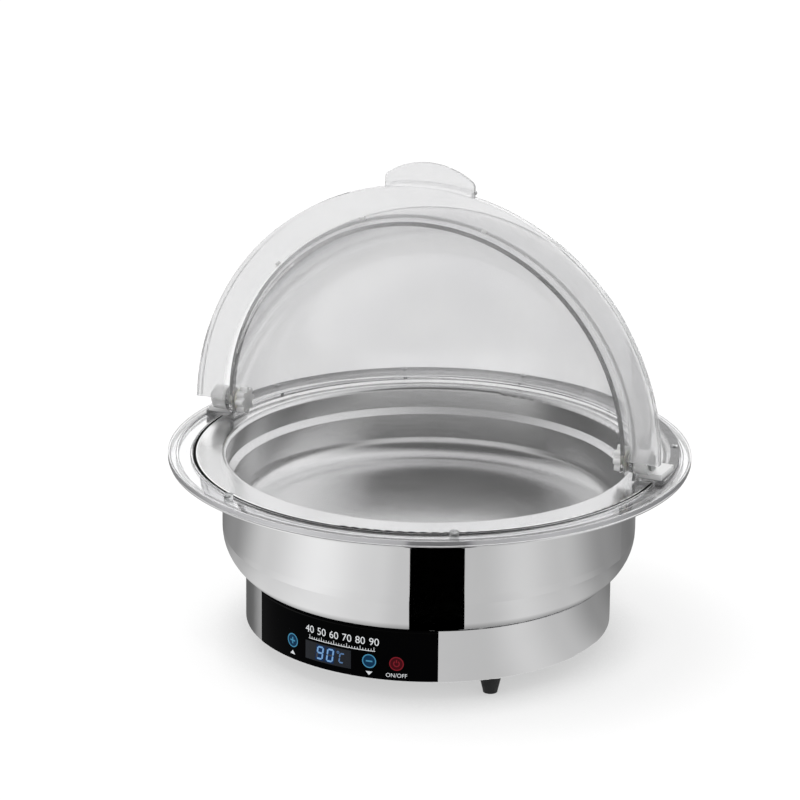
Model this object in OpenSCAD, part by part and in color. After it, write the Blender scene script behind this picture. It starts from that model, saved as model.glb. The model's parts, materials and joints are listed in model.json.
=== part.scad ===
// Electric chafing dish: a steel water pan on a round base with a touch panel, a food pan,
// and a clear roll-top lid whose front dome turns back inside a fixed rear dome.
// Millimetres, +Z up, the feet stand on z = 0 and the lid's mouth faces -Y.
// Angles round the dish are counted from the front, positive towards +X.

/* [Water pan] */
// Outer radius of the water pan's wall
vessel_r = 178.5; // [165:0.5:195]
// Sheet thickness of the water pan
vessel_wall = 1; // [0.8:0.1:1.5]
// Outer radius of the rounded lower edge
vessel_corner = 45; // [36:1:55]
// Height from the water pan's underside to the top of its flange
vessel_h = 107.5; // [95:0.5:130]
// Radius where the wall turns over into the flange
vessel_turn = 3; // [2:0.5:5]
// Radius of the rolled edge of the flange
vessel_hem_r = 1.2; // [0.8:0.1:1.5]

/* [Base] */
// How far the base's wall stands in from the water pan's wall
base_inset = 20.3; // [14:0.1:28]
// Sheet thickness of the base shell
base_wall = 1.2; // [0.8:0.1:2]
// Thickness of the bottom plate
plate_t = 1.2; // [0.8:0.1:2]
// Height of the bay for the electrics, from bottom plate to water pan
bay_h = 38.5; // [36:0.5:60]
// Width of the shell's turned-in bottom edge
base_lip_w = 24; // [20:1:34]
// Outer radius of the bend into that edge
base_corner = 2.5; // [2.2:0.1:2.8]
// Height of the feet
foot_h = 15; // [10:0.5:25]
// Diameter of a foot where it meets the base
foot_top_d = 19; // [16:0.5:22]
// Diameter of a foot at the table
foot_tip_d = 12; // [11:0.5:15]
// Distance of a foot's centre from the base's wall
foot_inset = 12; // [11:0.5:13]

/* [Touch panel] */
// Left edge of the panel, degrees from the front
panel_left = -40.4; // [-46:0.1:-34]
// Right edge of the panel, degrees from the front
panel_right = 26.9; // [22:0.1:34]
// Thickness of the panel
panel_t = 2.6; // [2:0.1:3.5]
// Steel left above the panel
panel_margin = 1.8; // [1:0.1:4]
// Place of the plus key, degrees from the front
plus_angle = -22.6; // [-26:0.1:-20]
// Place of the minus key, degrees from the front
minus_angle = 5.6; // [3:0.1:8]
// Place of the power key, degrees from the front
power_angle = 14.2; // [12:0.1:17]
// Middle of the number display, degrees from the front
display_angle = -8.7; // [-10:0.1:-7]
// Width of the number display
display_w = 46; // [40:0.5:48]
// Height of the number display
display_h = 17; // [14:0.5:20]
// How far the keys and the display lie below the panel's middle
key_drop = 6; // [0:0.5:6]

/* [Food pan] */
// Gap between the food pan's upper wall and the water pan
pan_gap = 2.3; // [1:0.1:4]
// Sheet thickness of the food pan
pan_wall = 1; // [0.6:0.1:1.5]
// Radius where the wall turns over into the rim
pan_fillet = 4.5; // [3:0.1:6]
// Width of the flat rim
pan_rim_w = 21.3; // [16:0.1:26]
// Radius of the rolled edge of the rim
pan_bead_r = 1.65; // [1.2:0.05:2.5]
// Depth of the pan, outside
pan_depth = 65; // [50:1:75]
// Depth of the stacking shoulder below the rim
shoulder_depth = 20; // [14:1:26]
// How far the shoulder steps the wall in
shoulder_step = 5; // [3:0.5:8]
// Radius of the pan's lower edge
pan_corner = 18; // [10:1:24]

/* [Lid] */
// Gap between the food pan's rim and the lid ring
ring_gap = 2.35; // [1:0.05:4]
// Width of the lid ring
ring_w = 21; // [19:0.5:28]
// Height of the lid ring's outer lip
ring_h = 4.3; // [3.8:0.1:6]
// Thickness of the ring's recessed track
ring_floor = 2.2; // [1.6:0.1:3]
// Width of the ring's raised outer lip
ring_lip_w = 9; // [7:0.5:10]
// Height of the lid's pivot axis above the water pan's flange
pivot_h = 23.6; // [22:0.1:32]
// How far the front dome's inside stands out from the food pan's mouth
dome_margin = 3.8; // [2:0.1:5]
// Wall thickness of the domes and flanges
dome_wall = 3; // [2:0.1:3.5]
// Gap between the two domes
dome_gap = 2.5; // [1.5:0.1:3.5]
// Distance of the front flange's face from the pivot axis
mouth_offset = 15.5; // [14.5:0.1:15.8]
// How far the open flange leans back, degrees
open_lean = 2.3; // [0:0.1:3]
// Depth of the lip that runs back from the flange's outer edge
flange_lip = 7; // [5:0.5:8]
// How far the rear dome's edge stands in front of the pivot axis
rear_edge = 1; // [0:0.5:3]
// Width of the handle tab
handle_w = 82; // [60:1:110]
// How far the handle tab stands out beyond the flange
handle_out = 22; // [16:0.5:30]
// Radius of the handle tab's curved top edge
handle_arc_r = 68; // [60:1:160]
// Depth of the rib behind the handle tab
handle_heel = 14; // [8:0.5:16]

/* [Hinges] */
// Radius of the pivot pins
pin_r = 4; // [3:0.1:5]
// Radius of the hinge lug's round head
lug_head_r = 10.5; // [8:0.5:11]
// Length of a hinge lug along the pin
lug_l = 12.5; // [9:0.5:14]
// Radius of the lobed pivot knobs over their lobes
knob_r = 12; // [10:0.5:14]
// Length of a pivot knob
knob_l = 7; // [6:0.5:12]

/* [Heater] */
// Radius of the heater plate
heater_r = 100; // [90:1:105]
// Thickness of the heater plate
heater_t = 4; // [3:0.5:6]
// Radius of the ring that the heating element follows
element_ring_r = 66; // [58:1:72]
// Radius of the heating element's tube
element_r = 3.2; // [2.5:0.1:3.6]
// Radius of the circle that the heater's studs stand on
stud_ring_r = 86; // [82:1:88]

/* [Hidden] */
$fn = 96;
eps = 1;

// Clearances
seat_gap = 0.3; // a lifting piece above its seat
side_gap = 0.25; // a piece let into a cut-out
pin_gap = 0.06; // running fit of the pivot pins
touch_gap = 0.1; // a piece that nearly touches a curved seat
screw_gap = 0.2; // a screw's shank in its hole

// Radii
base_r = vessel_r - base_inset;
base_ri = base_r - base_wall;
vessel_in = vessel_r - vessel_wall;
pan_upper_r = vessel_in - pan_gap;
pan_lower_r = pan_upper_r - shoulder_step;
pan_mouth_r = pan_upper_r - pan_wall + pan_fillet;
pan_bead_ring_r = pan_mouth_r + pan_rim_w;
ring_in = pan_bead_ring_r + pan_bead_r + ring_gap;
ring_r = ring_in + ring_w;
track_r = ring_r - ring_lip_w;
flange_setback = 0.8;
vessel_flange_r = ring_r - flange_setback;
front_in = pan_mouth_r + dome_margin;
front_out = front_in + dome_wall;
rear_in = front_out + dome_gap;
rear_out = rear_in + dome_wall;
flange_r = track_r;

// Heights
lip_top = foot_h + base_wall;
plate_top = lip_top + plate_t;
vessel_z = plate_top + bay_h;
function corner_rise(r) = vessel_corner - sqrt(pow(vessel_corner, 2) - pow(r - vessel_r + vessel_corner, 2));
base_top = vessel_z + corner_rise(base_ri) - touch_gap;
vessel_top = vessel_z + vessel_h;
pan_top = vessel_top + seat_gap + 2 * pan_bead_r;
pan_z = pan_top - pan_depth;
ring_z = vessel_top + seat_gap;
track_z = ring_z + ring_floor;
lip_z = ring_z + ring_h;
pivot_z = vessel_top + pivot_h;
foot_flange_z = max(pan_top, lip_z) + 2 * seat_gap;
foot_flange_top = foot_flange_z + dome_wall;

// Heater stack, from the water pan's underside down
heater_z = vessel_z - heater_t;
element_z = heater_z - touch_gap - element_r;
shield_t = 0.8;
element_air = 1.6;
spacer_l = 2 * element_r + element_air;
shield_top = heater_z - spacer_l;
shield_z = shield_top - shield_t;
shield_margin = 9;
shield_r = heater_r + shield_margin;
shield_rim = spacer_l - element_air;
stud_r = 2.5;
spacer_r = 4.5;
nut_r = 4.6;
nut_h = 4;
stud_tail = 2;
stud_angles = [90, 210, 330];
sensor_r = 5;
sensor_flange_r = 9;
sensor_flange_t = 1.5;
sensor_hole_r = 7;
sensor_tail = 4;
cutout_r = 8;
cutout_h = 9;
cutout_place = [30, -22];
cutout_tab = [0.8, 6.3, 6];
cutout_tab_pitch = 9;
cutout_hole_gap = 1;
element_gap_angle = 36;
terminal_r = 3.6;
terminal_drop = 8;
terminal_hole_r = 5.5;

// Vents of the bottom plate
vent_count = 14;
vent_ring_r = 96;
vent_l = 34;
vent_w = 5;

// Screws and nuts of the feet
foot_screw_r = 2;
foot_screw_head_r = 3.6;
foot_screw_head_h = 2.6;
foot_bore_r = 4.4;
foot_bore_h = 6;
foot_nut_r = 4.04;
foot_nut_h = 3.2;
foot_screw_tail = 1.6;
foot_angles = [45, 165, 285];

// Panel, board and keys
function arc_angle(length, r) = 180 / PI * length / r;
panel_sill = 0.6;
panel_z = lip_top + panel_sill;
panel_h = base_top - panel_margin - panel_z;
panel_mid_z = panel_z + panel_h / 2;
panel_in = base_r - panel_t;
panel_ear_w = 4.4;
panel_ear = arc_angle(panel_ear_w, base_r);
panel_slack = arc_angle(side_gap, base_r);
key_angles = [plus_angle, minus_angle, power_angle];
key_z = panel_mid_z - key_drop;
plate_r = min(panel_in - side_gap, base_r - base_corner);
board_angle = (plus_angle + power_angle) / 2;
board_t = 1.6;
board_depth = 14;
board_front = panel_in - board_depth;
board_back = board_front - board_t;
key_reach = panel_in * sin((power_angle - plus_angle) / 2);
board_edge = 6;
board_w = 2 * (key_reach + board_edge);
board_h = 30;
board_z = panel_mid_z - board_h / 2;
display_place = panel_in * sin(display_angle - board_angle);
display_front = sqrt(pow(panel_in, 2) - pow(display_w / 2 + abs(display_place), 2)) - seat_gap;
spring_r = 3.5;
spring_bore_r = 2.6;
standoff_r = 3;
standoff_bore_r = 1.5;
board_standoff_l = 4;
bracket_t = 1.5;
bracket_front = board_back - board_standoff_l;
bracket_foot = 14;
board_hole_inset = [7, 4];
board_hole_x = board_w / 2 - board_hole_inset[0];
board_hole_z = board_h / 2 - board_hole_inset[1];

// Power board
power_board_size = [78, 56, 1.6];
power_board_place = [24, 22];
power_standoff_h = 5;
power_hole_inset = 5;
relay_size = [19, 15.5, 15];
transformer_size = [28, 24, 14];
capacitor_r = 5;
capacitor_h = 12;
terminal_size = [30, 9, 10];
relay_place = [12, 10];
transformer_place = [38, 9];
capacitor_place = [20, 38];
terminal_place = [36, 43];
power_top = plate_top + power_standoff_h + power_board_size[2];

// Leads in the bay
lead_r = 1.2;
lead_bend = 1.04; // ball at a bend, as a share of the lead's radius
lead_rise = 5;
lead_z = power_top + lead_rise;
lead_pass = 1;
lead_clear = 8;
mains_lead_x = [40, 50];
heater_lead_y = [12, 3];
sensor_lead_place = [6, 5];
cable_r = 2.2;
cable_start = [30, 4];
cable_hole_gap = 0.8;
cable_bend_r = 112;

// Mains inlet, at the back
inlet_z = panel_mid_z;
inlet_body = [27, 24, 19.6];
inlet_bezel = [31, 2.2, 24];
inlet_cavity = [24.2, 17, 16.4];
contact = [2, 15, 4];
contact_pitch = 7;
contact_drop = 2;
contact_tail = 9;
bezel_y = base_r + touch_gap;
inlet_floor_y = bezel_y + inlet_bezel[1] - inlet_cavity[1];

// Lid details
ring_bead_w = 1.6;
ring_bead_h = 1.2;
lip_wall = 2;
lip_round = 1.6;
skirt_gap = 1;
skirt_w = 8;
skirt_in = track_r - skirt_gap - skirt_w;
skirt_mid = skirt_in + skirt_w / 2;
edge_gap = 1.5;
flange_start = rear_edge + edge_gap;
front_tail = 8;
ear_r = mouth_offset - dome_wall - edge_gap;
bumper_angles = [-29.3, 29.3];
bumper_r = 4;
bumper_inset = 6;
bumper_ring_r = track_r - bumper_inset;
bumper_top = pivot_z - mouth_offset - seat_gap;
lid_screw_r = 1.5;
lid_screw_head_r = 2.8;
lid_screw_head_h = 1.8;
dome_screw_angles = [115, 150, 180, 210, 245];

// Hinges
lug_gap = 0.5;
lug_x = rear_out + lug_gap;
lug_foot_y = 1.5;
lug_neck_y = 12;
lug_foot_l = 19;
lug_foot_w = 21;
lug_foot_h = 5;
lug_screw_y = [17, 25.5];
lug_screw_x = lug_x + lug_l / 2;
pin_head_r = 7;
pin_head_l = 2.2;
bush_wall = 2.5;
bush_r = pin_r + pin_gap + bush_wall;
bush_flange_w = 3;
bush_flange_r = bush_r + bush_flange_w;
bush_flange_t = 1.2;
bush_x = sqrt(pow(front_in, 2) - pow(bush_flange_r, 2)) - touch_gap - bush_flange_t;
knob_x = bush_x - seat_gap;
knob_lobes = 8;
lobe_r = 2.6;
knob_valley = 3.2;
knob_cap = 1.5;
bush_tail = 0.6;

// Handle
handle_z = flange_r + handle_out;
handle_arc_z = handle_z - handle_arc_r;
handle_corner = 6;
handle_corner_x = handle_w / 2 - handle_corner;
handle_corner_rise = sqrt(pow(handle_arc_r - handle_corner, 2) - pow(handle_corner_x, 2));
handle_corner_z = handle_arc_z + handle_corner_rise;
handle_in = flange_r + touch_gap;
handle_heel_t = 2.5;
handle_heel_inset = 3;

// Shared shapes

// A point on a circle, at an angle counted from the front.
function round_point(a, r) = [r * sin(a), -r * cos(a)];

// A tube about the Z axis.
module tube(r_out, r_in, z, h) {
  translate([0, 0, z])
    difference() {
      cylinder(r = r_out, h = h);
      translate([0, 0, -eps])
        cylinder(r = r_in, h = h + 2 * eps);
    }
}

// A wedge of space between two angles, under half a turn.
module wedge(a0, a1, r, z, h) {
  mid = (a0 + a1) / 2;
  translate([0, 0, z])
    linear_extrude(h)
      polygon([[0, 0], round_point(a0, 2 * r), round_point(mid, 2 * r), round_point(a1, 2 * r)]);
}

// Children drawn at the front are turned to an angle round the dish.
module round_to(a) {
  rotate([0, 0, a])
    children();
}

// Half of a bowl's cross-section, with a rounded lower edge.
module bowl_section(r, bottom, top, corner) {
  translate([0, bottom + corner])
    square([r, top - bottom - corner]);
  translate([0, bottom])
    square([r - corner, top - bottom]);
  translate([r - corner, bottom + corner])
    circle(corner);
}

// The bend that takes a sheet from an upright wall out into a flat rim.
module quarter_turn(centre, r, wall) {
  intersection() {
    translate(centre)
      difference() {
        circle(r);
        circle(r - wall);
      }
    translate([centre[0] - r, centre[1]])
      square(r);
  }
}

// A cylinder along +X.
module x_cylinder(r, x, l) {
  translate([x, 0, 0])
    rotate([0, 90, 0])
      cylinder(r = r, h = l);
}

// A cylinder along +Y.
module y_cylinder(r, y, l) {
  translate([0, y, 0])
    rotate([-90, 0, 0])
      cylinder(r = r, h = l);
}

// A pan-head screw whose head stands on z and whose shank runs down.
module screw_down(r, l, head_r, head_h) {
  translate([0, 0, -l])
    cylinder(r = r, h = l);
  cylinder(r = head_r, h = head_h);
}

// A hexagon nut with a hole.
module hex_nut(r, h, hole_r) {
  difference() {
    cylinder(r = r, h = h, $fn = 6);
    translate([0, 0, -eps])
      cylinder(r = hole_r, h = h + 2 * eps);
  }
}

// A slot with round ends, cut through a plate.
module plate_slot(l, w, h) {
  linear_extrude(h)
    union() {
      square([l - w, w], center = true);
      translate([(l - w) / 2, 0])
        circle(w / 2);
      translate([-(l - w) / 2, 0])
        circle(w / 2);
    }
}

// Children are drawn at both hinges, the left one mirrored.
module on_side(side) {
  if (side > 0)
    translate([0, 0, pivot_z])
      children();
  else
    mirror([1, 0, 0])
      translate([0, 0, pivot_z])
        children();
}

// Base

module base_shell() {
  color("silver")
    difference() {
      rotate_extrude()
        difference() {
          bowl_section(base_r, foot_h, base_top, base_corner);
          bowl_section(base_ri, lip_top, base_top + eps, base_corner - base_wall);
          translate([0, foot_h - eps])
            square([base_r - base_lip_w, base_wall + 2 * eps]);
        }
      intersection() {
        tube(base_r + eps, base_ri - eps, panel_z, panel_h);
        wedge(panel_left, panel_right, base_r, panel_z, panel_h);
      }
      translate([0, base_r, inlet_z])
        cube([inlet_body[0] + 2 * side_gap, 4 * base_wall, inlet_body[2] + 2 * side_gap], center = true);
      for (a = foot_angles)
        round_to(a)
          translate([0, -base_r + foot_inset, foot_h - eps])
            cylinder(r = foot_screw_r + screw_gap, h = base_wall + 2 * eps);
    }
}

module bottom_plate() {
  color("gray")
    difference() {
      translate([0, 0, lip_top])
        cylinder(r = plate_r, h = plate_t);
      for (i = [0 : vent_count - 1])
        rotate([0, 0, (i + 0.5) * 360 / vent_count])
          translate([vent_ring_r, 0, lip_top - eps])
            plate_slot(vent_l, vent_w, plate_t + 2 * eps);
      for (a = foot_angles)
        round_to(a)
          translate([0, -base_r + foot_inset, lip_top - eps])
            cylinder(r = foot_screw_r + screw_gap, h = plate_t + 2 * eps);
    }
}

module foot(a) {
  color("#1a1a1a")
    round_to(a)
      translate([0, -base_r + foot_inset, 0])
        difference() {
          cylinder(d1 = foot_tip_d, d2 = foot_top_d, h = foot_h);
          translate([0, 0, -eps])
            cylinder(r = foot_bore_r, h = foot_bore_h + eps);
          cylinder(r = foot_screw_r + screw_gap, h = foot_h + eps);
        }
}

module foot_screws() {
  top = plate_top + foot_nut_h + foot_screw_tail;
  color("silver")
    for (a = foot_angles)
      round_to(a)
        translate([0, -base_r + foot_inset, foot_bore_h])
          mirror([0, 0, 1])
            screw_down(foot_screw_r, top - foot_bore_h, foot_screw_head_r, foot_screw_head_h);
}

module foot_nuts() {
  color("silver")
    for (a = foot_angles)
      round_to(a)
        translate([0, -base_r + foot_inset, plate_top])
          hex_nut(foot_nut_r, foot_nut_h, foot_screw_r + pin_gap);
}

// Touch panel and its electronics

module touch_panel() {
  ear_h = panel_z + panel_h - plate_top - 2 * side_gap;
  color("#0c0c0e")
    union() {
      intersection() {
        tube(base_r, panel_in, panel_z + side_gap, panel_h - 2 * side_gap);
        wedge(panel_left + panel_slack, panel_right - panel_slack, base_r, panel_z, panel_h);
      }
      intersection() {
        tube(base_ri - side_gap, panel_in, plate_top + side_gap, ear_h);
        wedge(panel_left - panel_ear, panel_right + panel_ear, base_r, panel_z, panel_h);
      }
    }
}

module display_module() {
  color("#20242c")
    round_to(board_angle)
      translate([display_place - display_w / 2, -display_front, key_z - display_h / 2])
        cube([display_w, display_front - board_front, display_h]);
}

module board_corners() {
  for (x = [-1, 1])
    for (z = [-1, 1])
      translate([x * board_hole_x, 0, panel_mid_z + z * board_hole_z])
        children();
}

module control_board() {
  color("#1d5b36")
    round_to(board_angle)
      difference() {
        translate([-board_w / 2, -board_front, board_z])
          cube([board_w, board_t, board_h]);
        board_corners()
          y_cylinder(standoff_bore_r, -board_front - eps, board_t + 2 * eps);
      }
}

module touch_springs() {
  color("silver")
    round_to(board_angle)
      for (a = key_angles) {
        x = panel_in * sin(a - board_angle);
        reach = sqrt(pow(panel_in, 2) - pow(abs(x) + spring_r, 2)) - board_front - touch_gap;
        translate([x, 0, key_z])
          difference() {
            y_cylinder(spring_r, -board_front - reach, reach);
            y_cylinder(spring_bore_r, -board_front - reach - eps, reach + 2 * eps);
          }
      }
}

module board_standoffs() {
  color("#c9c3ae")
    round_to(board_angle)
      board_corners()
        difference() {
          y_cylinder(standoff_r, -board_back, board_standoff_l);
          y_cylinder(standoff_bore_r, -board_back - eps, board_standoff_l + 2 * eps);
        }
}

module board_bracket() {
  top = board_z + board_h;
  color("silver")
    round_to(board_angle)
      difference() {
        union() {
          translate([-board_w / 2, -bracket_front, plate_top])
            cube([board_w, bracket_t, top - plate_top]);
          translate([-board_w / 2, -bracket_front, plate_top])
            cube([board_w, bracket_foot, bracket_t]);
        }
        board_corners()
          y_cylinder(standoff_bore_r, -bracket_front - eps, bracket_t + 2 * eps);
        translate([0, 0, lead_z])
          y_cylinder(cable_r + cable_hole_gap, -bracket_front - eps, bracket_t + 2 * eps);
      }
}

// Power board

module power_corners() {
  for (x = [power_hole_inset, power_board_size[0] - power_hole_inset])
    for (y = [power_hole_inset, power_board_size[1] - power_hole_inset])
      translate([power_board_place[0] + x, power_board_place[1] + y, plate_top])
        children();
}

module power_board() {
  color("#1d5b36")
    difference() {
      translate([power_board_place[0], power_board_place[1], plate_top + power_standoff_h])
        cube(power_board_size);
      power_corners()
        cylinder(r = standoff_bore_r, h = 2 * power_standoff_h);
    }
}

module power_parts() {
  translate([power_board_place[0], power_board_place[1], power_top]) {
    color("#2a5ca8")
      translate(relay_place)
        cube(relay_size);
    color("#d8b24a")
      translate(transformer_place)
        cube(transformer_size);
    color("#23262b")
      translate(capacitor_place)
        cylinder(r = capacitor_r, h = capacitor_h);
    color("#3f8f57")
      translate(terminal_place)
        cube(terminal_size);
  }
}

module power_standoffs() {
  color("#c9c3ae")
    power_corners()
      difference() {
        cylinder(r = standoff_r, h = power_standoff_h);
        translate([0, 0, -eps])
          cylinder(r = standoff_bore_r, h = power_standoff_h + 2 * eps);
      }
}

// Heater

module at_studs() {
  for (a = stud_angles)
    round_to(a)
      translate([0, -stud_ring_r, 0])
        children();
}

module at_terminals() {
  for (s = [-1, 1])
    rotate([0, 0, 180 + s * element_gap_angle / 2])
      translate([element_ring_r, 0, 0])
        children();
}

module heater_plate() {
  color("#b9bcc0")
    difference() {
      translate([0, 0, heater_z])
        cylinder(r = heater_r, h = heater_t);
      translate([0, 0, heater_z - eps])
        cylinder(r = sensor_hole_r, h = heater_t + 2 * eps);
      at_studs()
        translate([0, 0, heater_z - eps])
          cylinder(r = stud_r + screw_gap, h = heater_t + 2 * eps);
    }
}

module heating_element() {
  color("#6f7073")
    union() {
      translate([0, 0, element_z])
        rotate([0, 0, 180 + element_gap_angle / 2])
          rotate_extrude(angle = 360 - element_gap_angle)
            translate([element_ring_r, 0])
              circle(element_r);
      at_terminals()
        translate([0, 0, shield_z - terminal_drop])
          cylinder(r = terminal_r, h = element_z + element_r - shield_z + terminal_drop);
    }
}

module heater_studs() {
  color("silver")
    at_studs()
      translate([0, 0, shield_z - nut_h - stud_tail])
        cylinder(r = stud_r, h = vessel_z - shield_z + nut_h + stud_tail);
}

module heater_spacers() {
  color("silver")
    at_studs()
      tube(spacer_r, stud_r + screw_gap, shield_top, spacer_l);
}

module heater_nuts() {
  color("silver")
    at_studs()
      translate([0, 0, shield_z - nut_h])
        hex_nut(nut_r, nut_h, stud_r + pin_gap);
}

module heat_shield() {
  color("silver")
    difference() {
      union() {
        translate([0, 0, shield_z])
          cylinder(r = shield_r, h = shield_t);
        tube(shield_r, shield_r - shield_t, shield_z, shield_rim);
      }
      at_studs()
        translate([0, 0, shield_z - eps])
          cylinder(r = stud_r + screw_gap, h = shield_t + 2 * eps);
      at_terminals()
        translate([0, 0, shield_z - eps])
          cylinder(r = terminal_hole_r, h = shield_t + 2 * eps);
      translate([0, 0, shield_z - eps])
        cylinder(r = sensor_r + screw_gap, h = shield_t + 2 * eps);
      translate([cutout_place[0], cutout_place[1], shield_z - eps])
        cylinder(r = cutout_r + cutout_hole_gap, h = shield_t + 2 * eps);
    }
}

module temperature_sensor() {
  color("#c8c9cc")
    union() {
      translate([0, 0, shield_z - sensor_tail])
        cylinder(r = sensor_r, h = vessel_z - shield_z + sensor_tail - touch_gap);
      translate([0, 0, shield_top])
        cylinder(r = sensor_flange_r, h = sensor_flange_t);
    }
}

module thermal_cutout() {
  color("#3a3230")
    translate([cutout_place[0], cutout_place[1], heater_z - cutout_h])
      union() {
        cylinder(r = cutout_r, h = cutout_h);
        for (s = [-1, 1])
          translate([s * cutout_tab_pitch / 2 - cutout_tab[0] / 2, -cutout_tab[1] / 2, -cutout_tab[2]])
            cube(cutout_tab);
      }
}

// Mains inlet

module mains_inlet() {
  color("#17181a")
    translate([0, 0, inlet_z])
      difference() {
        union() {
          translate([-inlet_bezel[0] / 2, bezel_y, -inlet_bezel[2] / 2])
            cube(inlet_bezel);
          translate([-inlet_body[0] / 2, bezel_y - inlet_body[1], -inlet_body[2] / 2])
            cube([inlet_body[0], inlet_body[1] + inlet_bezel[1] / 2, inlet_body[2]]);
        }
        translate([-inlet_cavity[0] / 2, inlet_floor_y, -inlet_cavity[2] / 2])
          cube([inlet_cavity[0], inlet_cavity[1] + eps, inlet_cavity[2]]);
        contact_bars();
      }
}

module contact_bars() {
  depth = contact[1] + contact_tail + inlet_body[1] + inlet_bezel[1] - inlet_cavity[1];
  for (p = [[-contact_pitch, -contact_drop], [contact_pitch, -contact_drop], [0, contact_drop]])
    translate([p[0] - contact[0] / 2, inlet_floor_y + contact[1] - depth, p[1] - contact[2] / 2])
      cube([contact[0], depth, contact[2]]);
}

module inlet_contacts() {
  color("#c9a24b")
    translate([0, 0, inlet_z])
      contact_bars();
}

// Leads in the bay

// A round lead along straight stretches, with a ball at each bend.
module lead(points, r) {
  for (i = [0 : len(points) - 2]) {
    run = points[i + 1] - points[i];
    translate(points[i])
      rotate([0, acos(run[2] / norm(run)), atan2(run[1], run[0])])
        cylinder(r = r, h = norm(run));
  }
  for (i = [1 : len(points) - 2])
    translate(points[i])
      sphere(r * lead_bend);
}

module mains_leads() {
  tail_y = inlet_floor_y + inlet_cavity[1] - inlet_bezel[1] - inlet_body[1] - contact_tail;
  terminal_y = power_board_place[1] + terminal_place[1] + terminal_size[1];
  live_z = inlet_z - contact_drop;
  earth_z = inlet_z + contact_drop;
  earth_y = tail_y - lead_clear / 2;
  color("#7a4a2a")
    for (i = [0, 1]) {
      start_x = (2 * i - 1) * contact_pitch;
      end_x = power_board_place[0] + mains_lead_x[i];
      bend_y = tail_y - lead_clear * (2 - i);
      lead([
        [start_x, tail_y, live_z], [start_x, bend_y, live_z], [start_x, bend_y, lead_z],
        [end_x, bend_y, lead_z], [end_x, terminal_y, lead_z]
      ], lead_r);
    }
  color("#6f8f2a")
    lead([[0, tail_y, earth_z], [0, earth_y, earth_z], [0, earth_y, plate_top]], lead_r);
}

module heater_leads() {
  relay_x = power_board_place[0] + relay_place[0];
  relay_y = power_board_place[1] + relay_place[1];
  bottom = shield_z - terminal_drop;
  x = -element_ring_r * cos(element_gap_angle / 2);
  y = element_ring_r * sin(element_gap_angle / 2);
  back_y = relay_y + heater_lead_y[0];
  front_y = relay_y + heater_lead_y[1];
  turn_x = relay_x - 2 * lead_clear;
  color("#a3a7ab") {
    lead([[x, y, bottom], [x, y, lead_z], [x, back_y, lead_z], [relay_x, back_y, lead_z]], lead_r);
    lead([
      [x, -y, bottom], [x, -y, lead_z], [turn_x, -y, lead_z],
      [turn_x, front_y, lead_z], [relay_x, front_y, lead_z]
    ], lead_r);
  }
}

module sensor_lead() {
  x = power_board_place[0] + sensor_lead_place[0];
  y = power_board_place[1] + sensor_lead_place[1];
  high = lead_z + 2 * lead_r + lead_pass;
  color("#e4e2da")
    lead([[0, 0, shield_z - sensor_tail], [0, 0, high], [x, y, high], [x, y, power_top]], lead_r);
}

module board_cable() {
  x = power_board_place[0] + cable_start[0];
  y = power_board_place[1] + cable_start[1];
  bend = round_point(board_angle, cable_bend_r);
  goal = round_point(board_angle, board_back);
  color("#c9ccd0")
    lead([
      [x, y, power_top], [x, y, lead_z],
      [bend[0], bend[1], lead_z], [goal[0], goal[1], lead_z]
    ], cable_r);
}

// Pans

module water_pan() {
  turn = [vessel_in + vessel_turn, vessel_top - vessel_turn];
  hem_r = vessel_flange_r - vessel_hem_r;
  color("#d5d8dc")
    rotate_extrude()
      union() {
        difference() {
          bowl_section(vessel_r, vessel_z, turn[1], vessel_corner);
          bowl_section(vessel_in, vessel_z + vessel_wall, turn[1] + eps, vessel_corner - vessel_wall);
        }
        quarter_turn(turn, vessel_turn, vessel_wall);
        translate([turn[0], vessel_top - vessel_wall])
          square([hem_r - turn[0], vessel_wall]);
        translate([hem_r, vessel_top - vessel_hem_r])
          circle(vessel_hem_r);
      }
}

// Cross-section of the food pan filled to the axis, up to where its wall turns over.
module pan_section(inset) {
  shoulder_z = pan_top - shoulder_depth;
  wall_top = pan_top - pan_fillet + inset;
  bowl_section(pan_lower_r - inset, pan_z + inset, shoulder_z, pan_corner - inset);
  polygon([
    [0, shoulder_z - 2 * shoulder_step], [pan_lower_r - inset, shoulder_z - shoulder_step],
    [pan_upper_r - inset, shoulder_z], [pan_upper_r - inset, wall_top], [0, wall_top]
  ]);
}

module food_pan() {
  turn = [pan_mouth_r, pan_top - pan_fillet];
  color("#dfe2e5")
    rotate_extrude()
      union() {
        difference() {
          pan_section(0);
          pan_section(pan_wall);
        }
        quarter_turn(turn, pan_fillet, pan_wall);
        translate([pan_mouth_r, pan_top - pan_wall])
          square([pan_rim_w, pan_wall]);
        translate([pan_bead_ring_r, pan_top - pan_bead_r])
          circle(pan_bead_r);
      }
}

// Lid ring

module lid_ring() {
  color("#e8eef0", 0.5)
    difference() {
      rotate_extrude()
        difference() {
          union() {
            translate([ring_in, ring_z])
              square([ring_w - lip_round, ring_floor]);
            translate([track_r, ring_z])
              square([ring_lip_w, ring_h - lip_round]);
            translate([track_r, ring_z])
              square([ring_lip_w - lip_round, ring_h]);
            translate([ring_r - lip_round, lip_z - lip_round])
              circle(lip_round);
            translate([ring_in, ring_z])
              square([ring_bead_w, ring_floor + ring_bead_h]);
          }
          translate([track_r + lip_wall, ring_z - eps])
            square([ring_lip_w - 2 * lip_wall, ring_h - lip_wall + eps]);
        }
      for (a = dome_screw_angles)
        round_to(a)
          translate([0, -skirt_mid, ring_z - eps])
            cylinder(r = lid_screw_r + pin_gap, h = ring_floor + 2 * eps);
    }
}

module lid_bumpers() {
  color("#dfe6e6", 0.6)
    for (a = bumper_angles)
      round_to(a)
        translate([0, -bumper_ring_r, track_z])
          cylinder(r = bumper_r, h = bumper_top - track_z);
}

// Domes

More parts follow.
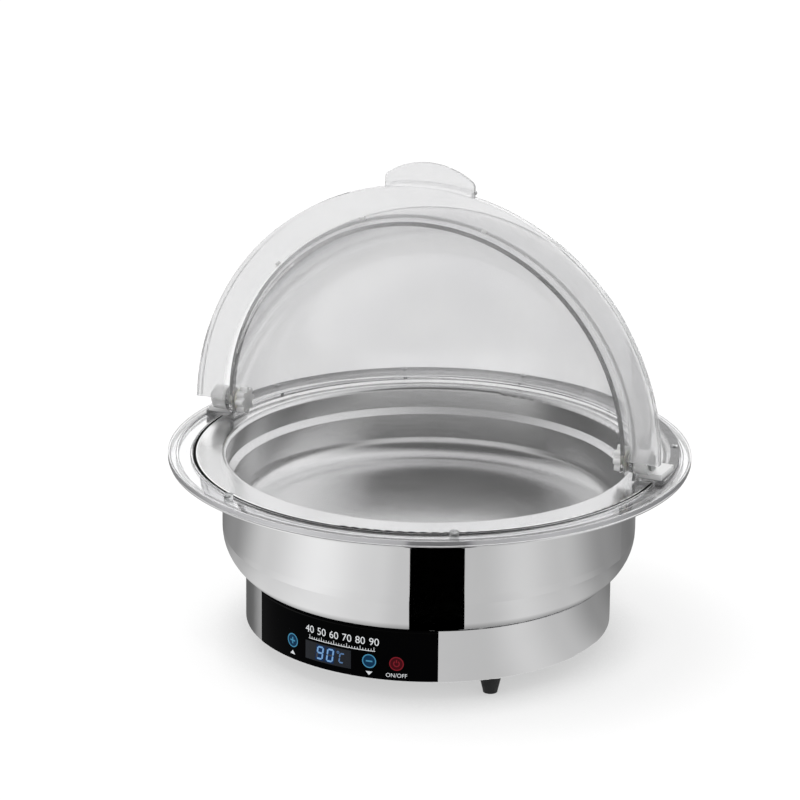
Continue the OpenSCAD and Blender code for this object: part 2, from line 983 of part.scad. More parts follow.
// A spherical shell about the pivot axis's middle.
module dome_shell(r_out, r_in) {
  difference() {
    sphere(r_out);
    sphere(r_in);
  }
}

// The round ears at a dome's two poles, which take the pivot pins.
module pole_ears(r_out) {
  x_cylinder(ear_r, -2 * r_out, 4 * r_out);
}

module rear_dome() {
  foot_rel = foot_flange_z - pivot_z;
  foot_in = sqrt(pow(rear_in, 2) - pow(foot_rel, 2));
  wide = 2 * ring_r;
  color("#e8eef0", 0.4)
    difference() {
      union() {
        translate([0, 0, pivot_z])
          intersection() {
            dome_shell(rear_out, rear_in);
            union() {
              translate([-wide / 2, -rear_edge, foot_rel])
                cube([wide, wide, wide]);
              pole_ears(rear_out);
            }
          }
        intersection() {
          union() {
            tube(track_r - skirt_gap, foot_in + dome_wall / 2, foot_flange_z, dome_wall);
            tube(track_r - skirt_gap, skirt_in, track_z, dome_wall + foot_flange_z - track_z);
          }
          translate([-wide / 2, lug_foot_y, 0])
            cube([wide, wide, wide]);
        }
      }
      translate([0, 0, pivot_z])
        x_cylinder(pin_r + pin_gap, -ring_r, 2 * ring_r);
      for (a = dome_screw_angles)
        round_to(a)
          translate([0, -skirt_mid, track_z - eps])
            cylinder(r = lid_screw_r + screw_gap, h = foot_flange_top - track_z + 2 * eps);
    }
}

module dome_screws() {
  color("silver")
    for (a = dome_screw_angles)
      round_to(a)
        translate([0, -skirt_mid, foot_flange_top])
          screw_down(lid_screw_r, foot_flange_top - ring_z, lid_screw_head_r, lid_screw_head_h);
}

module hinge_lug(side) {
  foot_rel = foot_flange_top - pivot_z;
  color("#e8eef0", 0.6)
    on_side(side)
      difference() {
        union() {
          x_cylinder(lug_head_r, lug_x, lug_l);
          translate([lug_x, lug_foot_y, foot_rel])
            cube([lug_l, lug_neck_y - lug_foot_y, -foot_rel]);
          translate([lug_x, lug_foot_y, foot_rel])
            cube([lug_foot_w, lug_neck_y - lug_foot_y + lug_foot_l, lug_foot_h]);
        }
        x_cylinder(pin_r + pin_gap, lug_x - eps, lug_l + 2 * eps);
        for (y = lug_screw_y)
          translate([lug_screw_x, y, foot_rel - eps])
            cylinder(r = lid_screw_r + screw_gap, h = lug_foot_h + 2 * eps);
      }
}

module hinge_screws() {
  color("silver")
    for (side = [-1, 1])
      on_side(side)
        for (y = lug_screw_y)
          translate([lug_screw_x, y, foot_flange_top - pivot_z + lug_foot_h])
            screw_down(lid_screw_r, lug_foot_h, lid_screw_head_r, lid_screw_head_h);
}

module pivot_pin(side) {
  inner = knob_x - knob_l + knob_cap;
  color("silver")
    on_side(side)
      union() {
        x_cylinder(pin_r, inner, lug_x + lug_l + pin_head_l / 2 - inner);
        x_cylinder(pin_head_r, lug_x + lug_l, pin_head_l);
      }
}

module pivot_knob(side) {
  color("#e3e9ea", 0.7)
    on_side(side)
      difference() {
        translate([knob_x - knob_l, 0, 0])
          rotate([0, 90, 0])
            linear_extrude(knob_l)
              union() {
                circle(knob_r - knob_valley);
                for (i = [0 : knob_lobes - 1])
                  rotate(i * 360 / knob_lobes)
                    translate([knob_r - lobe_r, 0])
                      circle(lobe_r);
              }
        x_cylinder(pin_r + pin_gap, knob_x - knob_l + knob_cap - pin_gap, knob_l);
      }
}

// Front dome, drawn with its flange upright and then leant back.

module leant() {
  translate([0, 0, pivot_z])
    rotate([-open_lean, 0, 0])
      children();
}

module front_dome() {
  wide = 2 * ring_r;
  mouth_r = sqrt(pow(front_in, 2) - pow(mouth_offset, 2));
  color("#e8eef0", 0.4)
    leant()
      difference() {
        union() {
          intersection() {
            dome_shell(front_out, front_in);
            union() {
              translate([-wide / 2, -mouth_offset, -front_tail])
                cube([wide, wide, wide]);
              pole_ears(front_out);
            }
          }
          intersection() {
            union() {
              difference() {
                y_cylinder(flange_r, -mouth_offset, dome_wall);
                y_cylinder(mouth_r + dome_wall / 2, -mouth_offset - eps, dome_wall + 2 * eps);
              }
              difference() {
                y_cylinder(flange_r, -mouth_offset, flange_lip);
                y_cylinder(flange_r - dome_wall, -mouth_offset - eps, flange_lip + 2 * eps);
              }
            }
            translate([-wide / 2, -mouth_offset - eps, flange_start])
              cube([wide, wide, wide]);
          }
        }
        x_cylinder(bush_r + pin_gap, -ring_r, 2 * ring_r);
      }
}

// The tab's outline: straight sides, rounded corners and a curved top edge, tangent to each other.
module handle_outline() {
  spread = [handle_corner_x, handle_corner_rise];
  intersection() {
    union() {
      translate([0, handle_arc_z])
        circle(handle_arc_r);
      translate([-handle_w / 2, 0])
        square([handle_w, handle_corner_z]);
    }
    union() {
      translate([-handle_w / 2, 0])
        square([handle_w, handle_corner_z]);
      translate([0, handle_arc_z])
        polygon([[0, 0], 2 * spread, 2 * [-spread[0], spread[1]]]);
      for (s = [-1, 1])
        translate([s * handle_corner_x, handle_corner_z])
          circle(handle_corner);
    }
  }
}

// The tab lies in the flange's plane, and a curved rib stiffens its root.
module lid_handle() {
  heel_w = handle_w - 2 * handle_heel_inset;
  color("#e8eef0", 0.5)
    leant()
      difference() {
        union() {
          translate([0, -mouth_offset + dome_wall, 0])
            rotate([90, 0, 0])
              linear_extrude(dome_wall)
                handle_outline();
          intersection() {
            y_cylinder(handle_in + handle_heel_t, -mouth_offset, handle_heel);
            translate([-heel_w / 2, -mouth_offset, 0])
              cube([heel_w, handle_heel, handle_z]);
          }
        }
        y_cylinder(handle_in, -mouth_offset - eps, handle_heel + 2 * eps);
      }
}

module pivot_bush(side) {
  color("#eceff0")
    on_side(side)
      difference() {
        union() {
          x_cylinder(bush_r, bush_x, front_out + bush_tail - bush_x);
          x_cylinder(bush_flange_r, bush_x, bush_flange_t);
        }
        x_cylinder(pin_r + pin_gap, bush_x - eps, 2 * front_out);
      }
}

base_shell();
bottom_plate();
foot(foot_angles[0]);  // foot_front
foot(foot_angles[1]);  // foot_back
foot(foot_angles[2]);  // foot_left
foot_screws();
foot_nuts();
touch_panel();
display_module();
control_board();
touch_springs();
board_standoffs();
board_bracket();
power_board();
power_parts();
power_standoffs();
heater_plate();
heating_element();
heater_studs();
heater_spacers();
heater_nuts();
heat_shield();
temperature_sensor();
thermal_cutout();
mains_inlet();
inlet_contacts();
mains_leads();
heater_leads();
sensor_lead();
board_cable();
water_pan();
food_pan();
lid_ring();
lid_bumpers();
rear_dome();
dome_screws();
hinge_lug(1);  // hinge_lug_right
hinge_lug(-1);  // hinge_lug_left
hinge_screws();
pivot_pin(1);  // pivot_pin_right
pivot_pin(-1);  // pivot_pin_left
pivot_knob(1);  // pivot_knob_right
pivot_knob(-1);  // pivot_knob_left
front_dome();
lid_handle();
pivot_bush(1);  // pivot_bush_right
pivot_bush(-1);  // pivot_bush_left
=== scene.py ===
"""Looks of a round electric chafing dish with a clear roll-top lid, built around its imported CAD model."""
import json
import math

import bmesh
import bpy
from mathutils import Matrix, Vector


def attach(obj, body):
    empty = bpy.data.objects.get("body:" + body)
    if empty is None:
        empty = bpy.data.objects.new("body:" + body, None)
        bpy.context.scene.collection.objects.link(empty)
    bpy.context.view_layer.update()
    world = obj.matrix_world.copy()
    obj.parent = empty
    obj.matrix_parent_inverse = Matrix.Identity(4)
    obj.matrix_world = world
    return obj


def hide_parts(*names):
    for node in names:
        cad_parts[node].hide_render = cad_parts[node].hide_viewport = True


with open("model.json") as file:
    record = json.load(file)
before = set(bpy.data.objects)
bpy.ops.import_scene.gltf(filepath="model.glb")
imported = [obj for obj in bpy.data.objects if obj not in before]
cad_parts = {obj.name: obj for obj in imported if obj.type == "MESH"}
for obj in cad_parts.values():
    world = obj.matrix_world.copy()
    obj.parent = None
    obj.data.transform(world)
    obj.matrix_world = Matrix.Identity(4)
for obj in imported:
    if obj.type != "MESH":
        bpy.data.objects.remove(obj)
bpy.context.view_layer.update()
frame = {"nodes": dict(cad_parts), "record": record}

MM = 0.001
NODES = frame["nodes"]

# Sizes that this file shares with the CAD model, in millimetres and degrees.
# Angles round the dish are counted from the front, positive towards +X.
PANEL_R = 158.2
VESSEL_R = 178.5
VESSEL_CORNER = 45.0
VESSEL_CORNER_Z = 100.9
FLANGE_Z = 163.4
PIVOT_Z = 187.0
PLUS_ANGLE, MINUS_ANGLE, POWER_ANGLE = -22.6, 5.6, 14.2
DISPLAY_ANGLE = -8.7
KEY_Z = 32.7


def linear(code):
    """Turns an sRGB hex colour into the linear RGBA that sockets take."""
    shares = [int(code[i:i + 2], 16) / 255 for i in (1, 3, 5)]
    return tuple(s / 12.92 if s <= 0.04045 else ((s + 0.055) / 1.055) ** 2.4 for s in shares) + (1.0,)


def per_mm(size):
    """The texture scale at which a pattern's grain is about this many millimetres wide."""
    return 1 / (size * MM)


def add_node(tree, kind, values=(), links=(), **settings):
    """Adds one node with its settings, its sockets' constant values, and the sockets that feed it."""
    node = tree.nodes.new(kind)
    for name, value in settings.items():
        setattr(node, name, value)
    for socket, value in dict(values).items():
        node.inputs[socket].default_value = value
    for socket, source in dict(links).items():
        tree.links.new(source, node.inputs[socket])
    return node


def new_material(name, **constants):
    """A material with its Principled shader, whose constant sockets are set by name."""
    material = bpy.data.materials.new(name)
    material.use_nodes = True
    tree = material.node_tree
    shader = tree.nodes["Principled BSDF"]
    for socket, value in constants.items():
        shader.inputs[socket.replace("_", " ")].default_value = value
    return material, tree, shader


EDGE_SHADE_POWER = 5.0
DRIFT_LOW, DRIFT_HIGH = 0.3, 0.7
GRAIN_STRENGTH = 0.5


def mottled(name, dark, pale, patch, rough, grain=0.0, relief=0.0, edge=None, **constants):
    """A material whose colour and gloss drift from patch to patch, with a grain that stands up in it.

    patch and grain are widths and relief is a height, all in millimetres. rough is the range of its
    roughness, and edge is a painted shade: the grey that the colour turns where the wall is seen edge on.
    A real grain that is too fine to show in the render is drawn as coarse as it needs to be.
    """
    material, tree, shader = new_material(name, **constants)
    place = add_node(tree, "ShaderNodeTexCoord")
    drift = add_node(tree, "ShaderNodeTexNoise", {"Scale": per_mm(patch), "Detail": 3.0},
                     {"Vector": place.outputs["Object"]})
    colour = add_node(tree, "ShaderNodeMix", {6: linear(dark), 7: linear(pale)},
                      {0: drift.outputs["Fac"]}, data_type="RGBA")
    # The edge tint is painted shade, strongest where the wall is seen edge on.
    if edge:
        slant = add_node(tree, "ShaderNodeLayerWeight", {"Blend": 0.5})
        painted_edge_shade = add_node(tree, "ShaderNodeMath", {1: EDGE_SHADE_POWER}, {0: slant.outputs["Facing"]},
                           operation="POWER")
        colour = add_node(tree, "ShaderNodeMix", {7: linear(edge)},
                          {0: painted_edge_shade.outputs[0], 6: colour.outputs[2]}, data_type="RGBA")
    gloss = add_node(tree, "ShaderNodeMapRange",
                     {"From Min": DRIFT_LOW, "From Max": DRIFT_HIGH, "To Min": rough[0], "To Max": rough[1]},
                     {"Value": drift.outputs["Fac"]})
    tree.links.new(colour.outputs[2], shader.inputs["Base Color"])
    tree.links.new(gloss.outputs["Result"], shader.inputs["Roughness"])
    if grain:
        pores = add_node(tree, "ShaderNodeTexNoise", {"Scale": per_mm(grain), "Detail": 2.0},
                         {"Vector": place.outputs["Object"]})
        bump = add_node(tree, "ShaderNodeBump", {"Strength": GRAIN_STRENGTH, "Distance": relief * MM},
                        {"Height": pores.outputs["Fac"]})
        tree.links.new(bump.outputs["Normal"], shader.inputs["Normal"])
    return material


LINE_RUN = 0.01
WIPE_LOW, WIPE_HIGH = 0.1, 0.45
LINE_STRENGTH = 0.3


def turned_metal(name, dark, pale, patch, line, rough, relief, **constants):
    """Sheet metal polished or brushed on a lathe: fine lines round the dish's axis, under wipe marks.

    patch and line are the widths of a wipe mark and a polishing line in millimetres, and relief is
    a line's depth. LINE_RUN is how little a line changes along its run, in metres for each radian.
    Real polishing lines are too fine to show in the render, so they are drawn coarser.
    """
    material, tree, shader = new_material(name, Metallic=1.0, **constants)
    place = add_node(tree, "ShaderNodeTexCoord")
    axes = add_node(tree, "ShaderNodeSeparateXYZ", links={0: place.outputs["Object"]})
    flat = add_node(tree, "ShaderNodeCombineXYZ", links={0: axes.outputs[0], 1: axes.outputs[1]})
    radius = add_node(tree, "ShaderNodeVectorMath", links={0: flat.outputs[0]}, operation="LENGTH")
    turn = add_node(tree, "ShaderNodeMath", links={0: axes.outputs[1], 1: axes.outputs[0]},
                    operation="ARCTAN2")
    along = add_node(tree, "ShaderNodeMath", {1: LINE_RUN}, {0: turn.outputs[0]}, operation="MULTIPLY")
    round_axis = add_node(tree, "ShaderNodeCombineXYZ",
                          links={0: radius.outputs["Value"], 1: axes.outputs[2], 2: along.outputs[0]})
    lines = add_node(tree, "ShaderNodeTexNoise", {"Scale": per_mm(line), "Detail": 3.0},
                     {"Vector": round_axis.outputs[0]})
    wipes = add_node(tree, "ShaderNodeTexNoise", {"Scale": per_mm(patch), "Detail": 4.0},
                     {"Vector": place.outputs["Object"]})
    mixed = add_node(tree, "ShaderNodeMath", links={0: lines.outputs["Fac"], 1: wipes.outputs["Fac"]},
                     operation="MULTIPLY")
    colour = add_node(tree, "ShaderNodeMix", {6: linear(dark), 7: linear(pale)},
                      {0: wipes.outputs["Fac"]}, data_type="RGBA")
    gloss = add_node(tree, "ShaderNodeMapRange",
                     {"From Min": WIPE_LOW, "From Max": WIPE_HIGH, "To Min": rough[0], "To Max": rough[1]},
                     {"Value": mixed.outputs[0]})
    bump = add_node(tree, "ShaderNodeBump", {"Strength": LINE_STRENGTH, "Distance": relief * MM},
                    {"Height": lines.outputs["Fac"]})
    tree.links.new(colour.outputs[2], shader.inputs["Base Color"])
    tree.links.new(gloss.outputs["Result"], shader.inputs["Roughness"])
    tree.links.new(bump.outputs["Normal"], shader.inputs["Normal"])
    return material


# Mirror-polished stainless sheet: sharp reflections, a little clouded where a cloth has wiped it.
polished_steel = turned_metal("polished_stainless_sheet", "#ebebec", "#f3f3f3", 45, 1.2, (0.015, 0.05), 0.002)

# Satin stainless, spun to shape: soft, broad reflections drawn out by the tool's rings.
pan_steel = turned_metal("spun_satin_stainless", "#ebebeb", "#f6f6f6", 60, 1.6, (0.18, 0.25), 0.012)

# Zinc-plated steel: grey, slightly yellowish bloom and a soft sparkle.
plated_steel = mottled("zinc_plated_steel", "#a8aaac", "#c3c4c2", 6, (0.28, 0.42), 0.8, 0.02, Metallic=1.0)

# Polycarbonate sheet, vacuum-formed: clear with a faint grey cast and the slightest ripple. Where its wall is
# seen edge on it is painted greyer, a painted shade.
clear_polycarbonate = mottled("clear_formed_polycarbonate", "#f1f1f2", "#f8f8f8", 60, (0.0, 0.02), 45, 0.006,
                              edge="#8a8a8c", Transmission_Weight=0.95, IOR=1.5)

# Polycarbonate moulded as the lid's ring: water-white and glass-smooth from the polished mould.
moulded_polycarbonate = mottled("clear_moulded_polycarbonate", "#f9f9fa", "#ffffff", 60, (0.0, 0.02),
                                45, 0.006, Transmission_Weight=0.97, IOR=1.5)

# The sheet where the front dome was pressed out to its flange: drawing it hot leaves a soft white haze.
# Its clear share falls from the dome's to the flange's between two distances from the pivots' middle.
FLANGE_FROM, FLANGE_TO = 189.0, 192.0
CLEAR_SHARE, HAZY_SHARE = 0.93, 0.72
# Where its wall is seen edge on it is painted greyer, a painted shade.
hazy_polycarbonate = mottled("hazy_pressed_polycarbonate", "#f6f6f7", "#fcfcfc", 60, (0.0, 0.02), 45, 0.006,
                             edge="#8a8a8c", IOR=1.5)
tree = hazy_polycarbonate.node_tree
place = add_node(tree, "ShaderNodeTexCoord")
reach = add_node(tree, "ShaderNodeVectorMath", {1: (0, 0, PIVOT_Z * MM)}, {0: place.outputs["Object"]},
                 operation="DISTANCE")
share = add_node(tree, "ShaderNodeMapRange",
                 {"From Min": FLANGE_FROM * MM, "From Max": FLANGE_TO * MM,
                  "To Min": CLEAR_SHARE, "To Max": HAZY_SHARE}, {"Value": reach.outputs["Value"]})
tree.links.new(share.outputs["Result"], tree.nodes["Principled BSDF"].inputs["Transmission Weight"])

# Polycarbonate in thick mouldings: light that soaks in and spreads makes it milky, soft and white.
LIGHT_SPREAD = 9.0
milky_polycarbonate = mottled("thick_milky_polycarbonate", "#fbfbfb", "#ffffff", 18, (0.1, 0.2), 12, 0.01,
                              Transmission_Weight=0.25, IOR=1.5, Subsurface_Weight=0.9,
                              Subsurface_Scale=LIGHT_SPREAD * MM, Subsurface_Radius=(1.0, 1.0, 1.0))

# Vacuum-metallised outer edge of the ring: a thin half mirror over plastic, grey where it faces the dark.
metallised_edge = mottled("vacuum_metallised_edge", "#cdcdcf", "#d5d5d7", 40, (0.1, 0.16), 8, 0.004,
                          Metallic=0.75)

# Cast silicone rubber: clear and soft-edged, with a satin skin.
clear_silicone = mottled("translucent_silicone", "#eef0f0", "#f8f9f9", 8, (0.16, 0.26), 0.9, 0.01,
                         Transmission_Weight=0.9, IOR=1.41)

# Moulded nitrile rubber: dull black with a fine spark-eroded grain.
black_rubber = mottled("moulded_black_rubber", "#101011", "#1b1b1c", 7, (0.6, 0.78), 0.7, 0.06)

# Painted shade for the shadowed gap round the pan's rim: dead black, with no shine to speak of.
black_gap_shade = mottled("black_gap_shade_strip", "#050505", "#0a0a0a", 7, (0.7, 0.85), 0.7, 0.04,
                      Specular_IOR_Level=0.1)

# Cold-headed stainless screws: bright and smooth, a little darker in patches.
screw_steel = mottled("bright_stainless_screws", "#d9dadb", "#ececec", 2, (0.12, 0.22), 0.6, 0.005,
                      Metallic=1.0)

# Cast acrylic, black right through: a deep gloss with the slightest orange peel.
black_acrylic = mottled("gloss_black_acrylic", "#030304", "#060607", 30, (0.05, 0.09), 9, 0.004,
                        IOR=1.49, Specular_IOR_Level=0.01)

# Moulded display case behind the panel: dark satin plastic.
display_plastic = mottled("dark_display_plastic", "#14161b", "#1e2128", 8, (0.35, 0.5), 1.2, 0.03)

# Glass-fibre laminate under green solder mask: a woven texture under a thin gloss.
circuit_board = mottled("green_circuit_board", "#12402a", "#1f6b43", 3, (0.3, 0.45), 1.0, 0.04,
                        Coat_Weight=0.3)

# Moulded component cases: satin blue-grey epoxy.
board_parts = mottled("moulded_component_cases", "#22355f", "#2e4678", 9, (0.35, 0.5), 0.8, 0.03)

# Natural nylon: creamy, slightly see-through and waxy.
nylon = mottled("natural_nylon", "#d9d5c6", "#e8e5da", 6, (0.35, 0.5), 1.0, 0.03, Subsurface_Weight=0.15)

# Die-cast aluminium: pale grey with a granular casting skin.
aluminium = mottled("die_cast_aluminium", "#b4b7ba", "#c9cccf", 9, (0.35, 0.5), 1.2, 0.06, Metallic=1.0)

# Steel sheath of a heating element: oxidised brown-grey after its first heats.
element_steel = mottled("heat_tinted_sheath", "#57504c", "#7d7672", 12, (0.4, 0.6), 0.9, 0.03, Metallic=1.0)

# Phenolic moulding: dark brown, dull and a little speckled.
dark_phenolic = mottled("brown_phenolic", "#1f1814", "#31271f", 3, (0.45, 0.6), 0.8, 0.03)

# Glass-filled nylon of the mains inlet: matt black with a fine grain.
black_plastic = mottled("grained_black_plastic", "#141415", "#202122", 10, (0.42, 0.56), 0.8, 0.06)

# Brass strip: warm yellow metal with a rolled satin face.
brass = mottled("rolled_brass", "#c39a4a", "#d8b467", 6, (0.22, 0.34), 0.8, 0.02, Metallic=1.0)

# Silicone wire sleeves: matt red-brown with paler scuffs.
wire_sleeve = mottled("silicone_wire_sleeve", "#7c4a35", "#96634b", 12, (0.45, 0.6), 1.0, 0.03)

# White silk-screen ink on the panel: even, with slightly starved patches, and a faint painted glow that keeps
# it bright.
glowing_white_ink = mottled("glowing_white_screen_ink", "#d9dcde", "#f2f4f5", 2.5, (0.3, 0.4),
                    Emission_Color=linear("#eef2f6"), Emission_Strength=0.22)

# Smoked window over the digits: a shade lighter than the black around it.
smoked_window = mottled("smoked_display_window", "#1c1f25", "#262a31", 14, (0.08, 0.14), 6, 0.004,
                        IOR=1.49, Specular_IOR_Level=0.15)

# Unlit segments of the digits: a grey just above the window's own.
unlit_segment = mottled("unlit_segment", "#2b3037", "#333840", 5, (0.3, 0.4))

# What the lit inks share: small patches, a satin face and hardly any shine.
INK = {"patch": 3, "rough": (0.3, 0.4), "Specular_IOR_Level": 0.03}

# Digits of blue-white diodes behind a diffuser: pale and even, and readable in daylight.
pale_blue_glow = mottled("pale_blue_lit_diffuser", "#0c141c", "#101a24", Emission_Color=linear("#84b2e2"),
                         Emission_Strength=0.8, **INK)

# The small unit sign beside them, fed by a weaker diode.
dim_blue_glow = mottled("dim_blue_lit_diffuser", "#0c141c", "#101a24", Emission_Color=linear("#6a8fc0"),
                        Emission_Strength=0.65, **INK)

# Light that strays from the digits into the smoked window: a deep blue fringe.
blue_fringe = mottled("stray_blue_light", "#080c14", "#0b111c", Emission_Color=linear("#1d3d6e"),
                      Emission_Strength=0.45, **INK)

# Rings and signs of the two setting keys: dim blue-green light through tinted ink.
teal_glow = mottled("teal_lit_ink", "#08161a", "#0b1c21", Emission_Color=linear("#4f98bc"),
                    Emission_Strength=0.75, **INK)

# Field inside those rings: the same light, much thinned by a navy ink.
navy_field = mottled("thin_navy_lit_ink", "#050b12", "#070f18", Emission_Color=linear("#0d3352"),
                     Emission_Strength=0.8, **INK)

# Ring and sign of the power key: dim red light through tinted ink.
red_glow = mottled("red_lit_ink", "#160405", "#1d0506", Emission_Color=linear("#82202b"),
                   Emission_Strength=0.8, **INK)

# Field inside the power key's ring: a dark red shade.
red_field = mottled("thin_red_lit_ink", "#100304", "#160405", Emission_Color=linear("#430d14"),
                    Emission_Strength=0.8, **INK)

# The finish of each slot in the record, and of the nodes that differ from the rest of their slot.
FINISHES = {
    "polished_steel": polished_steel, "pan_steel": pan_steel, "plated_steel": plated_steel,
    "clear_polycarbonate": clear_polycarbonate, "clear_silicone": clear_silicone,
    "black_rubber": black_rubber, "black_acrylic": black_acrylic, "display_plastic": display_plastic,
    "circuit_board": circuit_board, "board_parts": board_parts, "nylon": nylon, "aluminium": aluminium,
    "element_steel": element_steel, "dark_phenolic": dark_phenolic, "black_plastic": black_plastic,
    "brass": brass, "wire_sleeve": wire_sleeve,
}
CLEAR_SLOTS = ("clear_polycarbonate", "clear_silicone")
THICK_NODES = {name: milky_polycarbonate for name in
               ("hinge_lug_right", "hinge_lug_left", "pivot_knob_right", "pivot_knob_left")}
PRESSED_NODES = {name: hazy_polycarbonate for name in ("front_dome", "lid_handle")}
OWN_FINISHES = THICK_NODES | PRESSED_NODES

# The CAD nodes keep their shapes and take the finish of their slot. Clear plastic casts no shadow of its own.
for part in frame["record"]["subparts"]:
    shape = NODES[part["node"]]
    shape.data.materials.clear()
    shape.data.materials.append(OWN_FINISHES.get(part["node"], FINISHES[part["material_slot"]]))
    shape.visible_shadow = part["material_slot"] not in CLEAR_SLOTS


def add_piece(name, bm, body, material):
    """Makes an object of a finished bmesh, in metres and in place, that rides on a body."""
    mesh = bpy.data.meshes.new(name)
    bm.to_mesh(mesh)
    bm.free()
    mesh.materials.append(material)
    piece = bpy.data.objects.new(name, mesh)
    bpy.context.scene.collection.objects.link(piece)
    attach(piece, body)
    return piece


def turned_ring(profile, steps, start=-180.0, end=180.0):
    """A closed profile of radius and height in millimetres, turned round the axis between two angles."""
    bm = bmesh.new()
    rows = []
    whole = end - start >= 360
    for i in range(steps if whole else steps + 1):
        a = math.radians(start + (end - start) * i / steps)
        rows.append([bm.verts.new(Vector((r * math.sin(a), -r * math.cos(a), z)) * MM) for r, z in profile])
    if not whole:
        for row in (rows[0], rows[-1]):
            bm.faces.new(row)
    for i in range(steps):
        here, there = rows[i], rows[(i + 1) % len(rows)]
        for j in range(len(profile)):
            k = (j + 1) % len(profile)
            bm.faces.new((here[j], there[j], there[k], here[k])).smooth = True
    bmesh.ops.recalc_face_normals(bm, faces=bm.faces[:])
    return bm


def rounded(profile, radius, steps=4, hold=0.06):
    """Rounds the corners of a closed profile, with points close to each arc that keep the flats flat."""
    points = []
    for i, corner in enumerate(profile):
        here, last, after = (Vector(p) for p in (corner, profile[i - 1], profile[(i + 1) % len(profile)]))
        come, go = (last - here).normalized(), (after - here).normalized()
        half = come.angle(go) / 2
        back_off = radius / math.tan(half)
        start, end = here + come * back_off, here + go * back_off
        middle = here + (come + go).normalized() * (radius / math.sin(half))
        points.append(start + come * hold)
        for k in range(steps + 1):
            ray = (start - middle).lerp(end - middle, k / steps).normalized() * radius
            points.append(middle + ray)
        points.append(end + go * hold)
    return points


# The lid's ring: an inner bead, a recessed track and a hollow outer lip, with moulded edges that catch
# the light and a mirroring outer face.
RING_IN, RING_R, TRACK_R = 204.0, 225.0, 216.0
RING_Z, TRACK_Z, LIP_Z = FLANGE_Z + 0.3, FLANGE_Z + 2.5, FLANGE_Z + 4.6
LIP_WALL, BEAD_W, BEAD_H, RING_ROUND = 2.0, 1.6, 1.2, 0.4
RING_STEPS = 400
OUTER_FACE_R, UPRIGHT_TILT = RING_R - 0.2, 0.3
ring_profile = [(RING_IN, RING_Z), (TRACK_R + LIP_WALL, RING_Z),
                (TRACK_R + LIP_WALL, LIP_Z - LIP_WALL), (RING_R - LIP_WALL, LIP_Z - LIP_WALL),
                (RING_R - LIP_WALL, RING_Z), (RING_R, RING_Z), (RING_R, LIP_Z),
                (TRACK_R, LIP_Z), (TRACK_R, TRACK_Z), (RING_IN + BEAD_W, TRACK_Z),
                (RING_IN + BEAD_W, TRACK_Z + BEAD_H), (RING_IN, TRACK_Z + BEAD_H)]
moulded_ring = add_piece("moulded_ring", turned_ring(rounded(ring_profile, RING_ROUND), RING_STEPS), "lid",
                         moulded_polycarbonate)
moulded_ring.visible_shadow = False
moulded_ring.data.materials.append(metallised_edge)
for face in moulded_ring.data.polygons:
    middle = face.center / MM
    upright = abs(face.normal.z) < UPRIGHT_TILT
    face.material_index = int(upright and math.hypot(middle.x, middle.y) > OUTER_FACE_R)
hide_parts("lid_ring")

# Painted shade round the pan's rolled rim: a dead black oval bead that fills most of the gap to the lid's
# ring, standing in for the gap's shadow.
# It has as many steps as the ring, because it is seen through the ring and their facets have to line up.
GAP_SHADE_R, GAP_SHADE_Z, GAP_SHADE_W, GAP_SHADE_H = 202.4, FLANGE_Z + 1.95, 1.2, 1.75
GAP_SHADE_STEP_ANGLE = 30
gap_shade_profile = [(GAP_SHADE_R + GAP_SHADE_W * math.cos(math.radians(a)), GAP_SHADE_Z + GAP_SHADE_H * math.sin(math.radians(a)))
                for a in range(0, 360, GAP_SHADE_STEP_ANGLE)]
add_piece("rim_gap_shade", turned_ring(gap_shade_profile, RING_STEPS), "food_pan", black_gap_shade)

# Black gasket over the shell's top edge, which carries the panel's black up to the vessel.
PANEL_LEFT, PANEL_RIGHT = -40.4, 26.9
GASKET_LOW, SHELL_TOP, GASKET_TOP = 60.3, 62.45, 63.15
GASKET_OUT, GASKET_SINK, GASKET_BACK, GASKET_LIP = 0.12, 0.1, 0.8, 0.15
GASKET_STEPS = 68
gasket_profile = [(PANEL_R - GASKET_SINK, GASKET_LOW), (PANEL_R + GASKET_OUT, GASKET_LOW),
                  (PANEL_R + GASKET_OUT, GASKET_TOP), (PANEL_R - GASKET_BACK, SHELL_TOP + GASKET_LIP),
                  (PANEL_R - GASKET_BACK, SHELL_TOP), (PANEL_R - GASKET_SINK, SHELL_TOP)]
add_piece("panel_gasket", turned_ring(gasket_profile, GASKET_STEPS, PANEL_LEFT, PANEL_RIGHT), "base",
          black_acrylic)

# Cross-head screws of the rear dome's foot and of the hinge lugs, one on each point of a mesh.
SCREW_SIZES = {"Head radius": 2.8, "Head height": 1.8, "Shank radius": 1.5, "Shank length": 5.0,
               "Recess width": 0.8, "Recess length": 3.4, "Recess depth": 1.1}
SCREW_SIDES = 32
SCREW_TURN_SEED = 7
CUTTER_SHARE = 3.0


